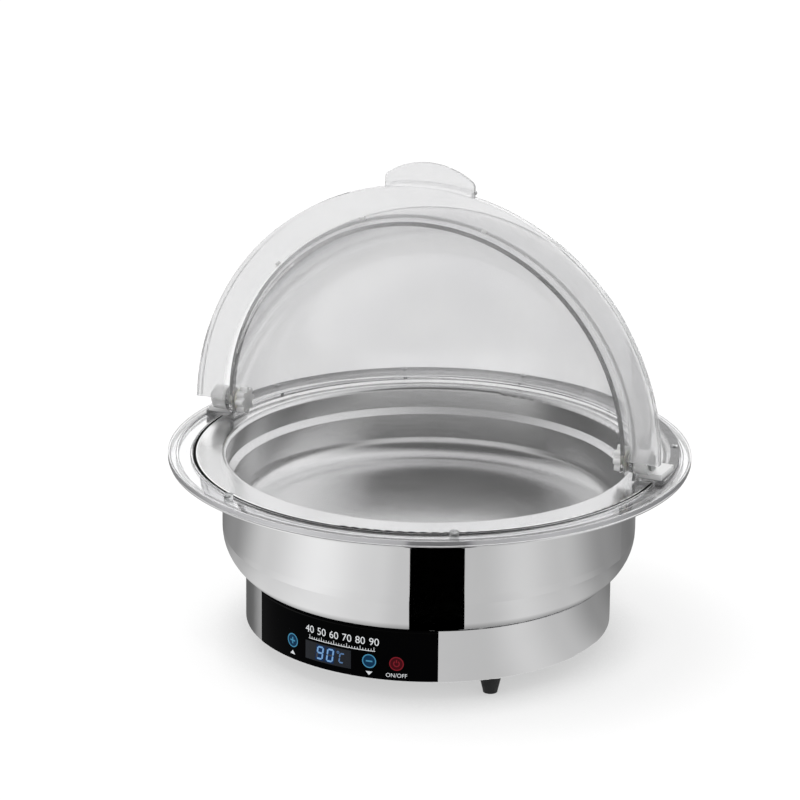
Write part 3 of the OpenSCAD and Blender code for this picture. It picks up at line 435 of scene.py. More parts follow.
def screw_tree(material):
    """Builds the node tree that puts a cross-head screw on every point, each turned by chance.

    A head is the upper half of a flattened ball, cut by a block below it and by the two bars of its cross.
    """
    tree = bpy.data.node_groups.new("cross_head_screws", "GeometryNodeTree")
    tree.interface.new_socket("Points", in_out="INPUT", socket_type="NodeSocketGeometry")
    for size in SCREW_SIZES:
        tree.interface.new_socket(size, in_out="INPUT", socket_type="NodeSocketFloat")
    tree.interface.new_socket("Screws", in_out="OUTPUT", socket_type="NodeSocketGeometry")
    given = add_node(tree, "NodeGroupInput").outputs
    squat = add_node(tree, "ShaderNodeMath", links={0: given["Head height"], 1: given["Head radius"]},
                     operation="DIVIDE")
    flatten = add_node(tree, "ShaderNodeCombineXYZ", {0: 1.0, 1: 1.0}, {2: squat.outputs[0]})
    ball = add_node(tree, "GeometryNodeMeshUVSphere", {"Segments": SCREW_SIDES, "Rings": SCREW_SIDES // 2},
                    {"Radius": given["Head radius"]})
    smooth = add_node(tree, "GeometryNodeSetShadeSmooth", links={"Geometry": ball.outputs["Mesh"]})
    dome = add_node(tree, "GeometryNodeTransform",
                    links={"Geometry": smooth.outputs[0], "Scale": flatten.outputs[0]})
    wide = add_node(tree, "ShaderNodeMath", {1: CUTTER_SHARE}, {0: given["Head radius"]},
                    operation="MULTIPLY")
    low = add_node(tree, "ShaderNodeMath", {1: -CUTTER_SHARE / 2}, {0: given["Head radius"]},
                   operation="MULTIPLY")
    below_size = add_node(tree, "ShaderNodeCombineXYZ", links={axis: wide.outputs[0] for axis in range(3)})
    below_place = add_node(tree, "ShaderNodeCombineXYZ", links={2: low.outputs[0]})
    below = add_node(tree, "GeometryNodeMeshCube", links={"Size": below_size.outputs[0]})
    below_head = add_node(tree, "GeometryNodeTransform",
                          links={"Geometry": below.outputs["Mesh"], "Translation": below_place.outputs[0]})
    deep = add_node(tree, "ShaderNodeMath", {1: 2.0}, {0: given["Recess depth"]}, operation="MULTIPLY")
    top = add_node(tree, "ShaderNodeCombineXYZ", links={2: given["Head height"]})
    cutters = [below_head.outputs[0]]
    for across, along in ((0, 1), (1, 0)):
        bar_size = add_node(tree, "ShaderNodeCombineXYZ",
                            links={across: given["Recess width"], along: given["Recess length"],
                                   2: deep.outputs[0]})
        bar = add_node(tree, "GeometryNodeMeshCube", links={"Size": bar_size.outputs[0]})
        placed = add_node(tree, "GeometryNodeTransform",
                          links={"Geometry": bar.outputs["Mesh"], "Translation": top.outputs[0]})
        cutters.append(placed.outputs[0])
    head = add_node(tree, "GeometryNodeMeshBoolean", links={"Mesh 1": dome.outputs[0]},
                    operation="DIFFERENCE", solver="EXACT")
    for cutter in cutters:
        tree.links.new(cutter, head.inputs["Mesh 2"])
    half_way = add_node(tree, "ShaderNodeMath", {1: -0.5}, {0: given["Shank length"]}, operation="MULTIPLY")
    shank_place = add_node(tree, "ShaderNodeCombineXYZ", links={2: half_way.outputs[0]})
    shank = add_node(tree, "GeometryNodeMeshCylinder", {"Vertices": SCREW_SIDES // 2},
                     {"Radius": given["Shank radius"], "Depth": given["Shank length"]})
    shank_below = add_node(tree, "GeometryNodeTransform",
                           links={"Geometry": shank.outputs["Mesh"], "Translation": shank_place.outputs[0]})
    screw = add_node(tree, "GeometryNodeJoinGeometry", links={"Geometry": head.outputs["Mesh"]})
    tree.links.new(shank_below.outputs[0], screw.inputs["Geometry"])
    turn = add_node(tree, "FunctionNodeRandomValue", {"Max": (0.0, 0.0, math.pi), "Seed": SCREW_TURN_SEED},
                    data_type="FLOAT_VECTOR")
    screws = add_node(tree, "GeometryNodeInstanceOnPoints",
                      links={"Points": given["Points"], "Instance": screw.outputs[0],
                             "Rotation": turn.outputs["Value"]})
    real = add_node(tree, "GeometryNodeRealizeInstances", links={"Geometry": screws.outputs[0]})
    finished = add_node(tree, "GeometryNodeSetMaterial", {"Material": material},
                        {"Geometry": real.outputs[0]})
    add_node(tree, "NodeGroupOutput", links={"Screws": finished.outputs[0]})
    return tree


DOME_SCREW_R, DOME_SCREW_Z, DOME_SCREW_ANGLES = 211.0, 171.6, (115, 150, 180, 210, 245)
HINGE_SCREW_X, HINGE_SCREW_Z, HINGE_SCREW_Y = 197.75, 176.6, (17.0, 25.5)
screw_places = []
for angle in DOME_SCREW_ANGLES:
    a = math.radians(angle)
    screw_places.append((DOME_SCREW_R * math.sin(a), -DOME_SCREW_R * math.cos(a), DOME_SCREW_Z))
screw_places += [(side * HINGE_SCREW_X, y, HINGE_SCREW_Z) for side in (-1, 1) for y in HINGE_SCREW_Y]
places = bpy.data.meshes.new("screw_places")
places.from_pydata([Vector(p) * MM for p in screw_places], [], [])
holder = bpy.data.objects.new("screw_places", places)
bpy.context.scene.collection.objects.link(holder)
modifier = holder.modifiers.new("screws", "NODES")
modifier.node_group = screw_tree(screw_steel)
for socket in modifier.node_group.interface.items_tree:
    if socket.name in SCREW_SIZES:
        modifier[socket.identifier] = SCREW_SIZES[socket.name] * MM
bpy.context.view_layer.update()
screw_mesh = bpy.data.meshes.new_from_object(holder.evaluated_get(bpy.context.evaluated_depsgraph_get()))
holder.modifiers.clear()
screw_bm = bmesh.new()
screw_bm.from_mesh(screw_mesh)
bmesh.ops.recalc_face_normals(screw_bm, faces=screw_bm.faces[:])
bpy.data.objects.remove(holder)
for spare in (screw_mesh, places):
    bpy.data.meshes.remove(spare)
lid_screws = add_piece("lid_screws", screw_bm, "lid", screw_steel)
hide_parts("dome_screws", "hinge_screws")

# Three small clips moulded onto the front of the flange, beside the mouth.
OPEN_LEAN, MOUTH_OFFSET = 2.3, 15.5
CLIP_R, CLIP_ANGLES = 192.0, (-46.7, -18.5, 15.4)
CLIP_SIZE, CLIP_ROUND, CLIP_ROUND_STEPS = (4.4, 1.6, 3.0), 0.5, 3
clip_bm = bmesh.new()
for angle in CLIP_ANGLES:
    clip_place = (Matrix.Translation((0, 0, PIVOT_Z)) @ Matrix.Rotation(math.radians(-OPEN_LEAN), 4, "X")
                  @ Matrix.Rotation(math.radians(angle), 4, "Y")
                  @ Matrix.Translation((0, -MOUTH_OFFSET, CLIP_R)) @ Matrix.Diagonal(CLIP_SIZE + (1.0,)))
    bmesh.ops.create_cube(clip_bm, size=1.0, matrix=Matrix.Scale(MM, 4) @ clip_place)
bmesh.ops.bevel(clip_bm, geom=clip_bm.edges[:], offset=CLIP_ROUND * MM, segments=CLIP_ROUND_STEPS,
                profile=0.5, affect="EDGES")
bmesh.ops.recalc_face_normals(clip_bm, faces=clip_bm.faces[:])
for face in clip_bm.faces:
    face.smooth = True
clips = add_piece("flange_clips", clip_bm, "front_dome", milky_polycarbonate)
clips.visible_shadow = False


# Print and lights of the touch panel. Each layer is PRINT_T thick and stands a little above the one below.
PRINT_T = 0.1
BEND_STEP = 3.0
GROUND_LIFT, FRINGE_LIFT, SIGN_LIFT, LIT_LIFT = 0.02, 0.08, 0.14, 0.16
CAPITAL_SHARE = 0.69
MERGE_DISTANCE, CUT_DISTANCE = 0.001, 1e-5


def strip(x0, y0, x1, y1):
    """A rectangle, as a loop of points in millimetres."""
    return [(x0, y0), (x1, y0), (x1, y1), (x0, y1)]


def ring_loops(x, y, outer, inner, start=0.0, end=360.0, steps=48):
    """A ring, or an arc of one, as a row of four-sided loops."""
    loops = []
    for i in range(steps):
        a, b = (math.radians(start + (end - start) * k / steps) for k in (i, i + 1))
        loops.append([(x + r * math.cos(t), y + r * math.sin(t))
                      for r, t in ((inner, a), (outer, a), (outer, b), (inner, b))])
    return loops


def disc_loop(radius, steps=48):
    """A disc about the origin, as one loop."""
    turns = [2 * math.pi * i / steps for i in range(steps)]
    return [(radius * math.cos(t), radius * math.sin(t)) for t in turns]


def segment_loops(lit, x, y, w, h, stroke, slant, gap=0.12):
    """The named segments of a slanted seven-segment digit, whose lower left corner is at x, y."""
    half = stroke / 2
    rows = {"d": half, "g": h / 2, "a": h - half}
    columns = {"f": (half, h / 2, h - half), "e": (half, half, h / 2),
               "b": (w - half, h / 2, h - half), "c": (w - half, half, h / 2)}
    loops = []
    for name in lit:
        if name in rows:
            low, x0, x1 = rows[name], half + gap, w - half - gap
            points = [(x0, low), (x0 + half, low - half), (x1 - half, low - half), (x1, low),
                      (x1 - half, low + half), (x0 + half, low + half)]
        else:
            mid, y0, y1 = columns[name][0], columns[name][1] + gap, columns[name][2] - gap
            points = [(mid, y0), (mid + half, y0 + half), (mid + half, y1 - half), (mid, y1),
                      (mid - half, y1 - half), (mid - half, y0 + half)]
        loops.append([(x + px + slant * py, y + py) for px, py in points])
    return loops


def text_shape(words, height):
    """Type centred on the origin, as a flat bmesh whose capitals are this many millimetres high."""
    curve = bpy.data.curves.new("type", "FONT")
    curve.body = words
    curve.align_x, curve.align_y = "CENTER", "CENTER"
    curve.size = height / CAPITAL_SHARE
    holder = bpy.data.objects.new("type", curve)
    bpy.context.scene.collection.objects.link(holder)
    bpy.context.view_layer.update()
    mesh = bpy.data.meshes.new_from_object(holder.evaluated_get(bpy.context.evaluated_depsgraph_get()))
    bm = bmesh.new()
    bm.from_mesh(mesh)
    bpy.data.objects.remove(holder)
    bpy.data.curves.remove(curve)
    bpy.data.meshes.remove(mesh)
    return bm


def add_print(name, shapes, angle, z, lift, material):
    """A thin layer of print, bent onto the panel at an angle and a height, and lifted off it by lift.

    shapes holds loops of points, or flat bmeshes of type with the place of their middle.
    """
    bm = bmesh.new()
    for shape in shapes:
        if isinstance(shape, list):
            bm.faces.new([bm.verts.new((x, y, 0)) for x, y in shape])
        else:
            type_bm, x, y = shape
            type_bm.transform(Matrix.Translation((x, y, 0)))
            copy = bpy.data.meshes.new("type")
            type_bm.to_mesh(copy)
            type_bm.free()
            bm.from_mesh(copy)
            bpy.data.meshes.remove(copy)
    bmesh.ops.remove_doubles(bm, verts=bm.verts, dist=MERGE_DISTANCE)
    reach = max(abs(v.co.x) for v in bm.verts)
    cuts = int(reach / BEND_STEP)
    for i in range(-cuts, cuts + 1):
        bmesh.ops.bisect_plane(bm, geom=bm.verts[:] + bm.edges[:] + bm.faces[:], dist=CUT_DISTANCE,
                               plane_co=(i * BEND_STEP, 0, 0), plane_no=(1, 0, 0))
    bmesh.ops.triangulate(bm, faces=bm.faces[:])
    bmesh.ops.solidify(bm, geom=bm.faces[:], thickness=PRINT_T)
    low = min(v.co.z for v in bm.verts)
    for v in bm.verts:
        turn = math.radians(angle) + v.co.x / PANEL_R
        r = PANEL_R + lift + v.co.z - low
        v.co = Vector((r * math.sin(turn), -r * math.cos(turn), z + v.co.y)) * MM
    bmesh.ops.recalc_face_normals(bm, faces=bm.faces[:])
    return add_piece(name, bm, "base", material)


# Number display: a window, two digits with their stray light, and a small unit sign.
DIGIT_H, DIGIT_W, DIGIT_STROKE, SLANT = 12.2, 7.0, 1.5, 0.14
DIGIT_PITCH = 10.2
DIGITS_X, DIGITS_Y = -11.6, -DIGIT_H / 2
SIGN_H, SIGN_W, SIGN_STROKE = 9.4, 5.4, 1.3
SIGN_X, SIGN_Y = DIGITS_X + 2 * DIGIT_PITCH + 2.2, DIGITS_Y + 1.2
DEGREE_X, DEGREE_Y, DEGREE_RING, DEGREE_STEPS = SIGN_X - 0.2, DIGITS_Y + DIGIT_H - 1.6, (1.25, 0.65), 20
FRINGE = 0.9
WINDOW_HALF_W, WINDOW_HALF_H = 23.0, 8.2
DISPLAY_Z = KEY_Z - 2.0
SEGMENTS = {"9": "abcdfg", "0": "abcdef", "C": "adef"}
ALL_SEGMENTS = "abcdefg"

lit_loops, unlit_loops, fringe_loops = [], [], []
for i, figure in enumerate("90"):
    x = DIGITS_X + i * DIGIT_PITCH
    unlit = [s for s in ALL_SEGMENTS if s not in SEGMENTS[figure]]
    lit_loops += segment_loops(SEGMENTS[figure], x, DIGITS_Y, DIGIT_W, DIGIT_H, DIGIT_STROKE, SLANT)
    unlit_loops += segment_loops(unlit, x, DIGITS_Y, DIGIT_W, DIGIT_H, DIGIT_STROKE, SLANT)
    fringe_loops.append([(x + px + SLANT * py, DIGITS_Y + py) for px, py in
                         strip(-FRINGE, -FRINGE, DIGIT_W + FRINGE, DIGIT_H + FRINGE)])
sign_loops = segment_loops(SEGMENTS["C"], SIGN_X, SIGN_Y, SIGN_W, SIGN_H, SIGN_STROKE, SLANT)
sign_loops += ring_loops(DEGREE_X, DEGREE_Y, *DEGREE_RING, steps=DEGREE_STEPS)
window_loops = [strip(-WINDOW_HALF_W, -WINDOW_HALF_H, WINDOW_HALF_W, WINDOW_HALF_H)]
DISPLAY_LAYERS = {"display_window": (window_loops, GROUND_LIFT, smoked_window),
                  "lit_digits": (lit_loops, LIT_LIFT, pale_blue_glow),
                  "degree_sign": (sign_loops, LIT_LIFT, dim_blue_glow),
                  "digit_fringe": (fringe_loops, FRINGE_LIFT, blue_fringe),
                  "unlit_segments": (unlit_loops, SIGN_LIFT, unlit_segment)}
for name, (loops, lift, material) in DISPLAY_LAYERS.items():
    add_print(name, loops, DISPLAY_ANGLE, DISPLAY_Z, lift, material)

# Touch keys: a ring with a sign in it, over a dim field.
PLUS_KEY_Z, LOW_KEY_Z = KEY_Z + 1.2, KEY_Z - 0.6
KEY_RING, FIELD_R = (6.2, 5.3), 6.0
BAR_HALF_L, BAR_HALF_W = 2.9, 0.65
POWER_ARC, POWER_ARC_ENDS, POWER_STROKE = (2.9, 1.9), (125, 415), (-0.5, 0.9, 0.5, 3.6)
key_ring = ring_loops(0, 0, *KEY_RING)
level_bar = [strip(-BAR_HALF_L, -BAR_HALF_W, BAR_HALF_L, BAR_HALF_W)]
upright_bar = [strip(-BAR_HALF_W, BAR_HALF_W, BAR_HALF_W, BAR_HALF_L),
               strip(-BAR_HALF_W, -BAR_HALF_L, BAR_HALF_W, -BAR_HALF_W)]
power_sign = ring_loops(0, 0, *POWER_ARC, *POWER_ARC_ENDS) + [strip(*POWER_STROKE)]
KEYS = {"plus_key": (key_ring + level_bar + upright_bar, PLUS_ANGLE, PLUS_KEY_Z, teal_glow, navy_field),
        "minus_key": (key_ring + level_bar, MINUS_ANGLE, LOW_KEY_Z, teal_glow, navy_field),
        "power_key": (key_ring + power_sign, POWER_ANGLE, LOW_KEY_Z, red_glow, red_field)}
for name, (loops, angle, z, ink, field) in KEYS.items():
    add_print(name, loops, angle, z, SIGN_LIFT, ink)
    add_print(name + "_field", [disc_loop(FIELD_R)], angle, z, GROUND_LIFT, field)

# Number scale above the keys, and marks below them.
SCALE_ANGLE, SCALE_Z = -4.1, 49.5
SCALE_PITCH, NUMBER_H = 12.4, 6.4
SCALE_NUMBERS = (40, 50, 60, 70, 80, 90)
SCALE_MIDDLE = (len(SCALE_NUMBERS) - 1) / 2
TICKS_EACH = 5
LINE_LOW, LINE_TOP, LINE_OVERRUN = -8.4, -7.8, 1.0
TICK_HALF_W, LONG_TICK_TOP, SHORT_TICK_TOP = 0.25, -4.6, -6.2
MARK_HALF_W, MARK_FOOT, MARK_TIP = 3.0, 1.6, 1.8
WORDS_H = 3.5
UP_MARK_Z, LOW_MARK_Z = KEY_Z - 9.6, KEY_Z - 11.4
numbers = [(text_shape(str(number), NUMBER_H), (i - SCALE_MIDDLE) * SCALE_PITCH, 0.0)
           for i, number in enumerate(SCALE_NUMBERS)]
half_line = SCALE_MIDDLE * SCALE_PITCH + LINE_OVERRUN
ticks = [strip(-half_line, LINE_LOW, half_line, LINE_TOP)]
for i in range((len(SCALE_NUMBERS) - 1) * TICKS_EACH + 1):
    x = (i / TICKS_EACH - SCALE_MIDDLE) * SCALE_PITCH
    tick_top = SHORT_TICK_TOP if i % TICKS_EACH else LONG_TICK_TOP
    ticks.append(strip(x - TICK_HALF_W, LINE_TOP, x + TICK_HALF_W, tick_top))
up_mark = [[(-MARK_HALF_W, -MARK_FOOT), (MARK_HALF_W, -MARK_FOOT), (0.0, MARK_TIP)]]
down_mark = [[(-MARK_HALF_W, MARK_FOOT), (0.0, -MARK_TIP), (MARK_HALF_W, MARK_FOOT)]]
switch_words = [(text_shape("ON/OFF", WORDS_H), 0.0, 0.0)]
WHITE_PRINT = {"scale_numbers": (numbers, SCALE_ANGLE, SCALE_Z),
               "scale_ticks": (ticks, SCALE_ANGLE, SCALE_Z),
               "up_mark": (up_mark, PLUS_ANGLE, UP_MARK_Z),
               "down_mark": (down_mark, MINUS_ANGLE, LOW_MARK_Z),
               "switch_words": (switch_words, POWER_ANGLE, LOW_MARK_Z)}
for name, (shapes, angle, z) in WHITE_PRINT.items():
    add_print(name, shapes, angle, z, GROUND_LIFT, glowing_white_ink)


# Stage: a pale floor, cards that only reflections see, lamp, world and camera. Its lengths are in metres.

def bare_material(name):
    """A material with nothing but its output, and the tree to fill."""
    material = bpy.data.materials.new(name)
    material.use_nodes = True
    tree = material.node_tree
    tree.nodes.remove(tree.nodes["Principled BSDF"])
    return material, tree, tree.nodes["Material Output"].inputs["Surface"]


def only_in_reflections(card):
    """A studio card that shows in polished metal and nowhere else."""
    for sight in ("camera", "diffuse", "transmission", "volume_scatter", "shadow"):
        setattr(card, f"visible_{sight}", False)


def add_stage(name, points, faces, material):
    """A thing of the studio, which is no part of the dish."""
    mesh = bpy.data.meshes.new(name)
    mesh.from_pydata(points, [], faces)
    mesh.materials.append(material)
    thing = bpy.data.objects.new(name, mesh)
    bpy.context.scene.collection.objects.link(thing)
    return thing


# Pale paper, lit by the lamp and glowing where it is looked at. Close to the dish the glow is dimmed by its
# ambient occlusion, a painted contact shadow.
FLOOR_R = 9.0
FLOOR_GLOW = 0.72
CONTACT_REACH, CONTACT_SHARE = 0.09, 0.68
CONTACT_CLOSE, CONTACT_OPEN = 0.45, 0.72
floor_material, tree, surface = bare_material("pale_paper_floor")
sight = add_node(tree, "ShaderNodeLightPath").outputs
seen = add_node(tree, "ShaderNodeMath", links={0: sight["Is Camera Ray"], 1: sight["Is Transmission Ray"]},
                operation="MAXIMUM")
seen_too = add_node(tree, "ShaderNodeMath", links={0: seen.outputs[0], 1: sight["Is Glossy Ray"]},
                    operation="MAXIMUM")
nearness = add_node(tree, "ShaderNodeAmbientOcclusion", {"Distance": CONTACT_REACH}, samples=8)
painted_contact_shadow = add_node(tree, "ShaderNodeMapRange",
                   {"From Min": CONTACT_CLOSE, "From Max": CONTACT_OPEN,
                    "To Min": CONTACT_SHARE * FLOOR_GLOW, "To Max": FLOOR_GLOW},
                   {"Value": nearness.outputs["AO"]})
glow_level = add_node(tree, "ShaderNodeMath", links={0: painted_contact_shadow.outputs["Result"], 1: seen_too.outputs[0]},
                      operation="MULTIPLY")
glow = add_node(tree, "ShaderNodeEmission", {"Color": (1, 1, 1, 1)}, {"Strength": glow_level.outputs[0]})
paper = add_node(tree, "ShaderNodeBsdfDiffuse", {"Color": linear("#8f8f8f")})
both = add_node(tree, "ShaderNodeAddShader", links={0: paper.outputs[0], 1: glow.outputs[0]})
tree.links.new(both.outputs[0], surface)
floor_points = [(x * FLOOR_R, y * FLOOR_R, 0) for x, y in ((-1, -1), (1, -1), (1, 1), (-1, 1))]
add_stage("floor", floor_points, [(0, 1, 2, 3)], floor_material)

# The camera's place, fitted to the photograph. Two of the cards below are set by it too.
CAMERA_AZIMUTH, CAMERA_ELEVATION, CAMERA_ROLL = (math.radians(a) for a in (23.58, 20.03, -0.65))
CAMERA_DISTANCE = 4.0
CAMERA_TARGET = Vector((0, 0, 0.127))
TARGET_PIXEL = (429.15, 494.09)
FOCAL_PIXELS = 4630.24
FRAME_PIXELS = 800
TO_CAMERA = Vector((math.sin(CAMERA_AZIMUTH) * math.cos(CAMERA_ELEVATION),
                    -math.cos(CAMERA_AZIMUTH) * math.cos(CAMERA_ELEVATION), math.sin(CAMERA_ELEVATION)))


def card_tone(tree, stops):
    """Grey levels round the dish, by the angle from the front, for a card that lies level."""
    place = add_node(tree, "ShaderNodeTexCoord")
    axes = add_node(tree, "ShaderNodeSeparateXYZ", links={0: place.outputs["Object"]})
    front = add_node(tree, "ShaderNodeMath", {1: -1.0}, {0: axes.outputs[1]}, operation="MULTIPLY")
    turn = add_node(tree, "ShaderNodeMath", links={0: axes.outputs[0], 1: front.outputs[0]},
                    operation="ARCTAN2")
    share = add_node(tree, "ShaderNodeMapRange", {"From Min": -math.pi, "From Max": math.pi},
                     {"Value": turn.outputs[0]})
    ramp = add_node(tree, "ShaderNodeValToRGB", links={"Fac": share.outputs["Result"]})
    ramp.color_ramp.interpolation = "EASE"
    while len(ramp.color_ramp.elements) < len(stops):
        ramp.color_ramp.elements.new(0.5)
    for element, (angle, tone) in zip(ramp.color_ramp.elements, stops):
        element.position = (angle + 180) / 360
        element.color = (tone, tone, tone, 1)
    return ramp


CARD_SIDES = 60


def reflector_card(name, stops, level, radii, height, fade=None):
    """A ring-shaped card round the dish, toned by the angle from the front.

    fade gives two radii and the share of its tone that the card keeps at the first of them.
    """
    material, tree, surface = bare_material(name)
    tones = card_tone(tree, stops)
    glow = add_node(tree, "ShaderNodeEmission", {"Strength": level}, {"Color": tones.outputs["Color"]})
    if fade:
        place = add_node(tree, "ShaderNodeTexCoord")
        reach = add_node(tree, "ShaderNodeVectorMath", {1: (0, 0, height)}, {0: place.outputs["Object"]},
                         operation="DISTANCE")
        share = add_node(tree, "ShaderNodeMapRange",
                         {"From Min": fade[0], "From Max": fade[1],
                          "To Min": level * fade[2], "To Max": level},
                         {"Value": reach.outputs["Value"]})
        tree.links.new(share.outputs["Result"], glow.inputs["Strength"])
    tree.links.new(glow.outputs[0], surface)
    turns = [2 * math.pi * i / CARD_SIDES for i in range(CARD_SIDES)]
    points = [(r * math.cos(a), r * math.sin(a), height) for r in radii for a in turns]
    faces = [(i, (i + 1) % CARD_SIDES, CARD_SIDES + (i + 1) % CARD_SIDES, CARD_SIDES + i)
             for i in range(CARD_SIDES)]
    only_in_reflections(add_stage(name, points, faces, material))


# The wide card tones the vessel's wall and the base, and the narrow one under the vessel its rounded corner.
REFLECTOR_LEVEL, REFLECTOR_RADII, REFLECTOR_Z = 0.93, (0.166, 3.5), 0.0015
REFLECTOR_STOPS = ((-180, 0.34), (-150, 0.32), (-122, 0.2), (-88, 0.31), (-59, 0.7), (-29, 1.0), (1, 0.76),
                   (12, 0.66), (47, 0.6), (66, 0.74), (88, 0.6), (116, 0.32), (147, 0.2), (180, 0.34))
reflector_card("floor_reflector", REFLECTOR_STOPS, REFLECTOR_LEVEL, REFLECTOR_RADII, REFLECTOR_Z)
CORNER_LEVEL, CORNER_RADII, CORNER_Z, CORNER_FADE = 0.83, (0.1584, 0.212), 0.0625, (0.158, 0.1665, 0.5)
CORNER_STOPS = ((-180, 0.38), (-150, 0.36), (-115, 0.25), (-80, 0.34), (-59, 0.54), (-36, 0.84), (-14, 1.0),
                (6, 0.86), (15, 0.73), (41, 0.665), (54, 0.84), (71, 0.69), (92, 0.4), (106, 0.26),
                (147, 0.23), (180, 0.38))
reflector_card("corner_reflector", CORNER_STOPS, CORNER_LEVEL, CORNER_RADII, CORNER_Z, CORNER_FADE)


def mirror_landing(r, offset, slope, height, level):
    """Where a sight line that meets the polished steel is mirrored to, on the plane at height level.

    r is the steel's radius there, offset how far to the right of the axis the line meets it, slope
    the angle of the wall below upright in radians, and height the point's height.
    """
    theta = CAMERA_AZIMUTH + math.asin(offset / r)
    out = Vector((math.sin(theta), -math.cos(theta), 0))
    normal = out * math.cos(slope) - Vector((0, 0, math.sin(slope)))
    mirrored = 2 * normal.dot(TO_CAMERA) * normal - TO_CAMERA
    start = out * r + Vector((0, 0, height))
    return start + mirrored * ((height - level) / -mirrored.z)


def sheet_faces(rows, columns):
    """The faces of a sheet whose points run along its rows."""
    return [(i * columns + j, i * columns + j + 1, (i + 1) * columns + j + 1, (i + 1) * columns + j)
            for i in range(rows - 1) for j in range(columns - 1)]


# A black flag, whose mirror image is the dark band down the vessel, its corner and the lid ring's edge.
FLAG_Z = 0.0628
FLAG_OFFSETS = (-0.0156, 0.0307)
FLAG_RING_TOP = 0.172
FLAG_WALL_HEIGHTS = (0.168, 0.146, 0.124, VESSEL_CORNER_Z * MM)
FLAG_SLOPES = range(5, 60, 5)
flag_rows = [(RING_R * MM, 0.0, FLAG_RING_TOP)]
flag_rows += [(VESSEL_R * MM, 0.0, height) for height in FLAG_WALL_HEIGHTS]
for degrees in FLAG_SLOPES:
    slope = math.radians(degrees)
    corner_r = VESSEL_R - VESSEL_CORNER + VESSEL_CORNER * math.cos(slope)
    corner_z = VESSEL_CORNER_Z - VESSEL_CORNER * math.sin(slope)
    flag_rows.append((corner_r * MM, slope, corner_z * MM))
flag_points = [mirror_landing(r, offset, slope, height, FLAG_Z) for r, slope, height in flag_rows
               for offset in FLAG_OFFSETS]
flag_material, tree, surface = bare_material("black_flag_card")
felt = add_node(tree, "ShaderNodeBsdfDiffuse", {"Color": (0, 0, 0, 1)})
tree.links.new(felt.outputs[0], surface)
flag_faces = sheet_faces(len(flag_rows), len(FLAG_OFFSETS))
only_in_reflections(add_stage("black_flag", flag_points, flag_faces, flag_material))

# A card beside the base, shaded from column to column, whose mirror image darkens the base's left edge.
# Towards its far row and its outer columns it thins out, so that it has no edge in other reflections.
SIDE_Z = 0.003
SIDE_COLUMNS = ((-0.1581, 0.125), (-0.1565, 0.12), (-0.154, 0.125), (-0.151, 0.155), (-0.147, 0.29),
                (-0.143, 0.42), (-0.139, 0.6))
SIDE_HEIGHTS = (0.012, 0.03, 0.048, 0.064, 0.082)
SIDE_SPREAD = 2.5
side_points, side_tones, side_covers = [], [], []
for height in SIDE_HEIGHTS:
    row = [mirror_landing(PANEL_R * MM, offset, 0.0, height, SIDE_Z) for offset, tone in SIDE_COLUMNS]
    side_points += [row[0] + (row[0] - row[1]) * SIDE_SPREAD] + row
    side_tones += [SIDE_COLUMNS[0][1]] + [tone for offset, tone in SIDE_COLUMNS]
    row_cover = float(height < SIDE_HEIGHTS[-1])
    side_covers += [0.0] + [row_cover] * (len(row) - 1) + [0.0]
side_material, tree, surface = bare_material("shaded_side_card")
tone = add_node(tree, "ShaderNodeAttribute", attribute_name="tone")
cover = add_node(tree, "ShaderNodeAttribute", attribute_name="cover")
glow = add_node(tree, "ShaderNodeEmission", {"Color": (1, 1, 1, 1)}, {"Strength": tone.outputs["Fac"]})
gap = add_node(tree, "ShaderNodeBsdfTransparent")
thinned = add_node(tree, "ShaderNodeMixShader",
                   links={0: cover.outputs["Fac"], 1: gap.outputs[0], 2: glow.outputs[0]})
tree.links.new(thinned.outputs[0], surface)
side_faces = sheet_faces(len(SIDE_HEIGHTS), len(SIDE_COLUMNS) + 1)
side_card = add_stage("side_card", side_points, side_faces, side_material)
for name, values in (("tone", side_tones), ("cover", side_covers)):
    side_card.data.attributes.new(name, "FLOAT", "POINT").data.foreach_set("value", values)
only_in_reflections(side_card)

# World: white where it is looked at, an even light on dull surfaces, and a sky for metal and clear plastic
# that is brighter behind the dish than in front, and dimmed high up in front.
AMBIENT = 0.95
SKY_FRONT, SKY_BACK = 0.6, 1.35
SKY_FROM, SKY_TO = -0.6, 0.5
DIM_FROM, DIM_TO, DIM_SHARE = -0.1, -0.6, 0.74
HIGH_FROM, HIGH_TO = 0.05, 0.35
MIRRORED_SHARE = 0.8
world = bpy.data.worlds.new("studio")
bpy.context.scene.world = world
world.use_nodes = True
tree = world.node_tree
sight = add_node(tree, "ShaderNodeLightPath").outputs
place = add_node(tree, "ShaderNodeTexCoord")
axes = add_node(tree, "ShaderNodeSeparateXYZ", links={0: place.outputs["Generated"]})
sky = add_node(tree, "ShaderNodeMapRange",
               {"From Min": SKY_FROM, "From Max": SKY_TO, "To Min": SKY_FRONT, "To Max": SKY_BACK},
               {"Value": axes.outputs[1]}, interpolation_type="SMOOTHSTEP")
in_front = add_node(tree, "ShaderNodeMapRange",
                    {"From Min": DIM_FROM, "From Max": DIM_TO, "To Min": 0.0, "To Max": DIM_SHARE},
                    {"Value": axes.outputs[1]}, interpolation_type="SMOOTHSTEP")
up_high = add_node(tree, "ShaderNodeMapRange", {"From Min": HIGH_FROM, "From Max": HIGH_TO},
                   {"Value": axes.outputs[2]}, interpolation_type="SMOOTHSTEP")
dim = add_node(tree, "ShaderNodeMath", links={0: in_front.outputs["Result"], 1: up_high.outputs["Result"]},
               operation="MULTIPLY")
open_share = add_node(tree, "ShaderNodeMath", {0: 1.0}, {1: dim.outputs[0]}, operation="SUBTRACT")
mirrored = add_node(tree, "ShaderNodeMath", {1: MIRRORED_SHARE}, {0: sight["Is Glossy Ray"]},
                    operation="MULTIPLY")
bent = add_node(tree, "ShaderNodeMath", links={0: mirrored.outputs[0], 1: sight["Is Transmission Ray"]},
                operation="MAXIMUM")
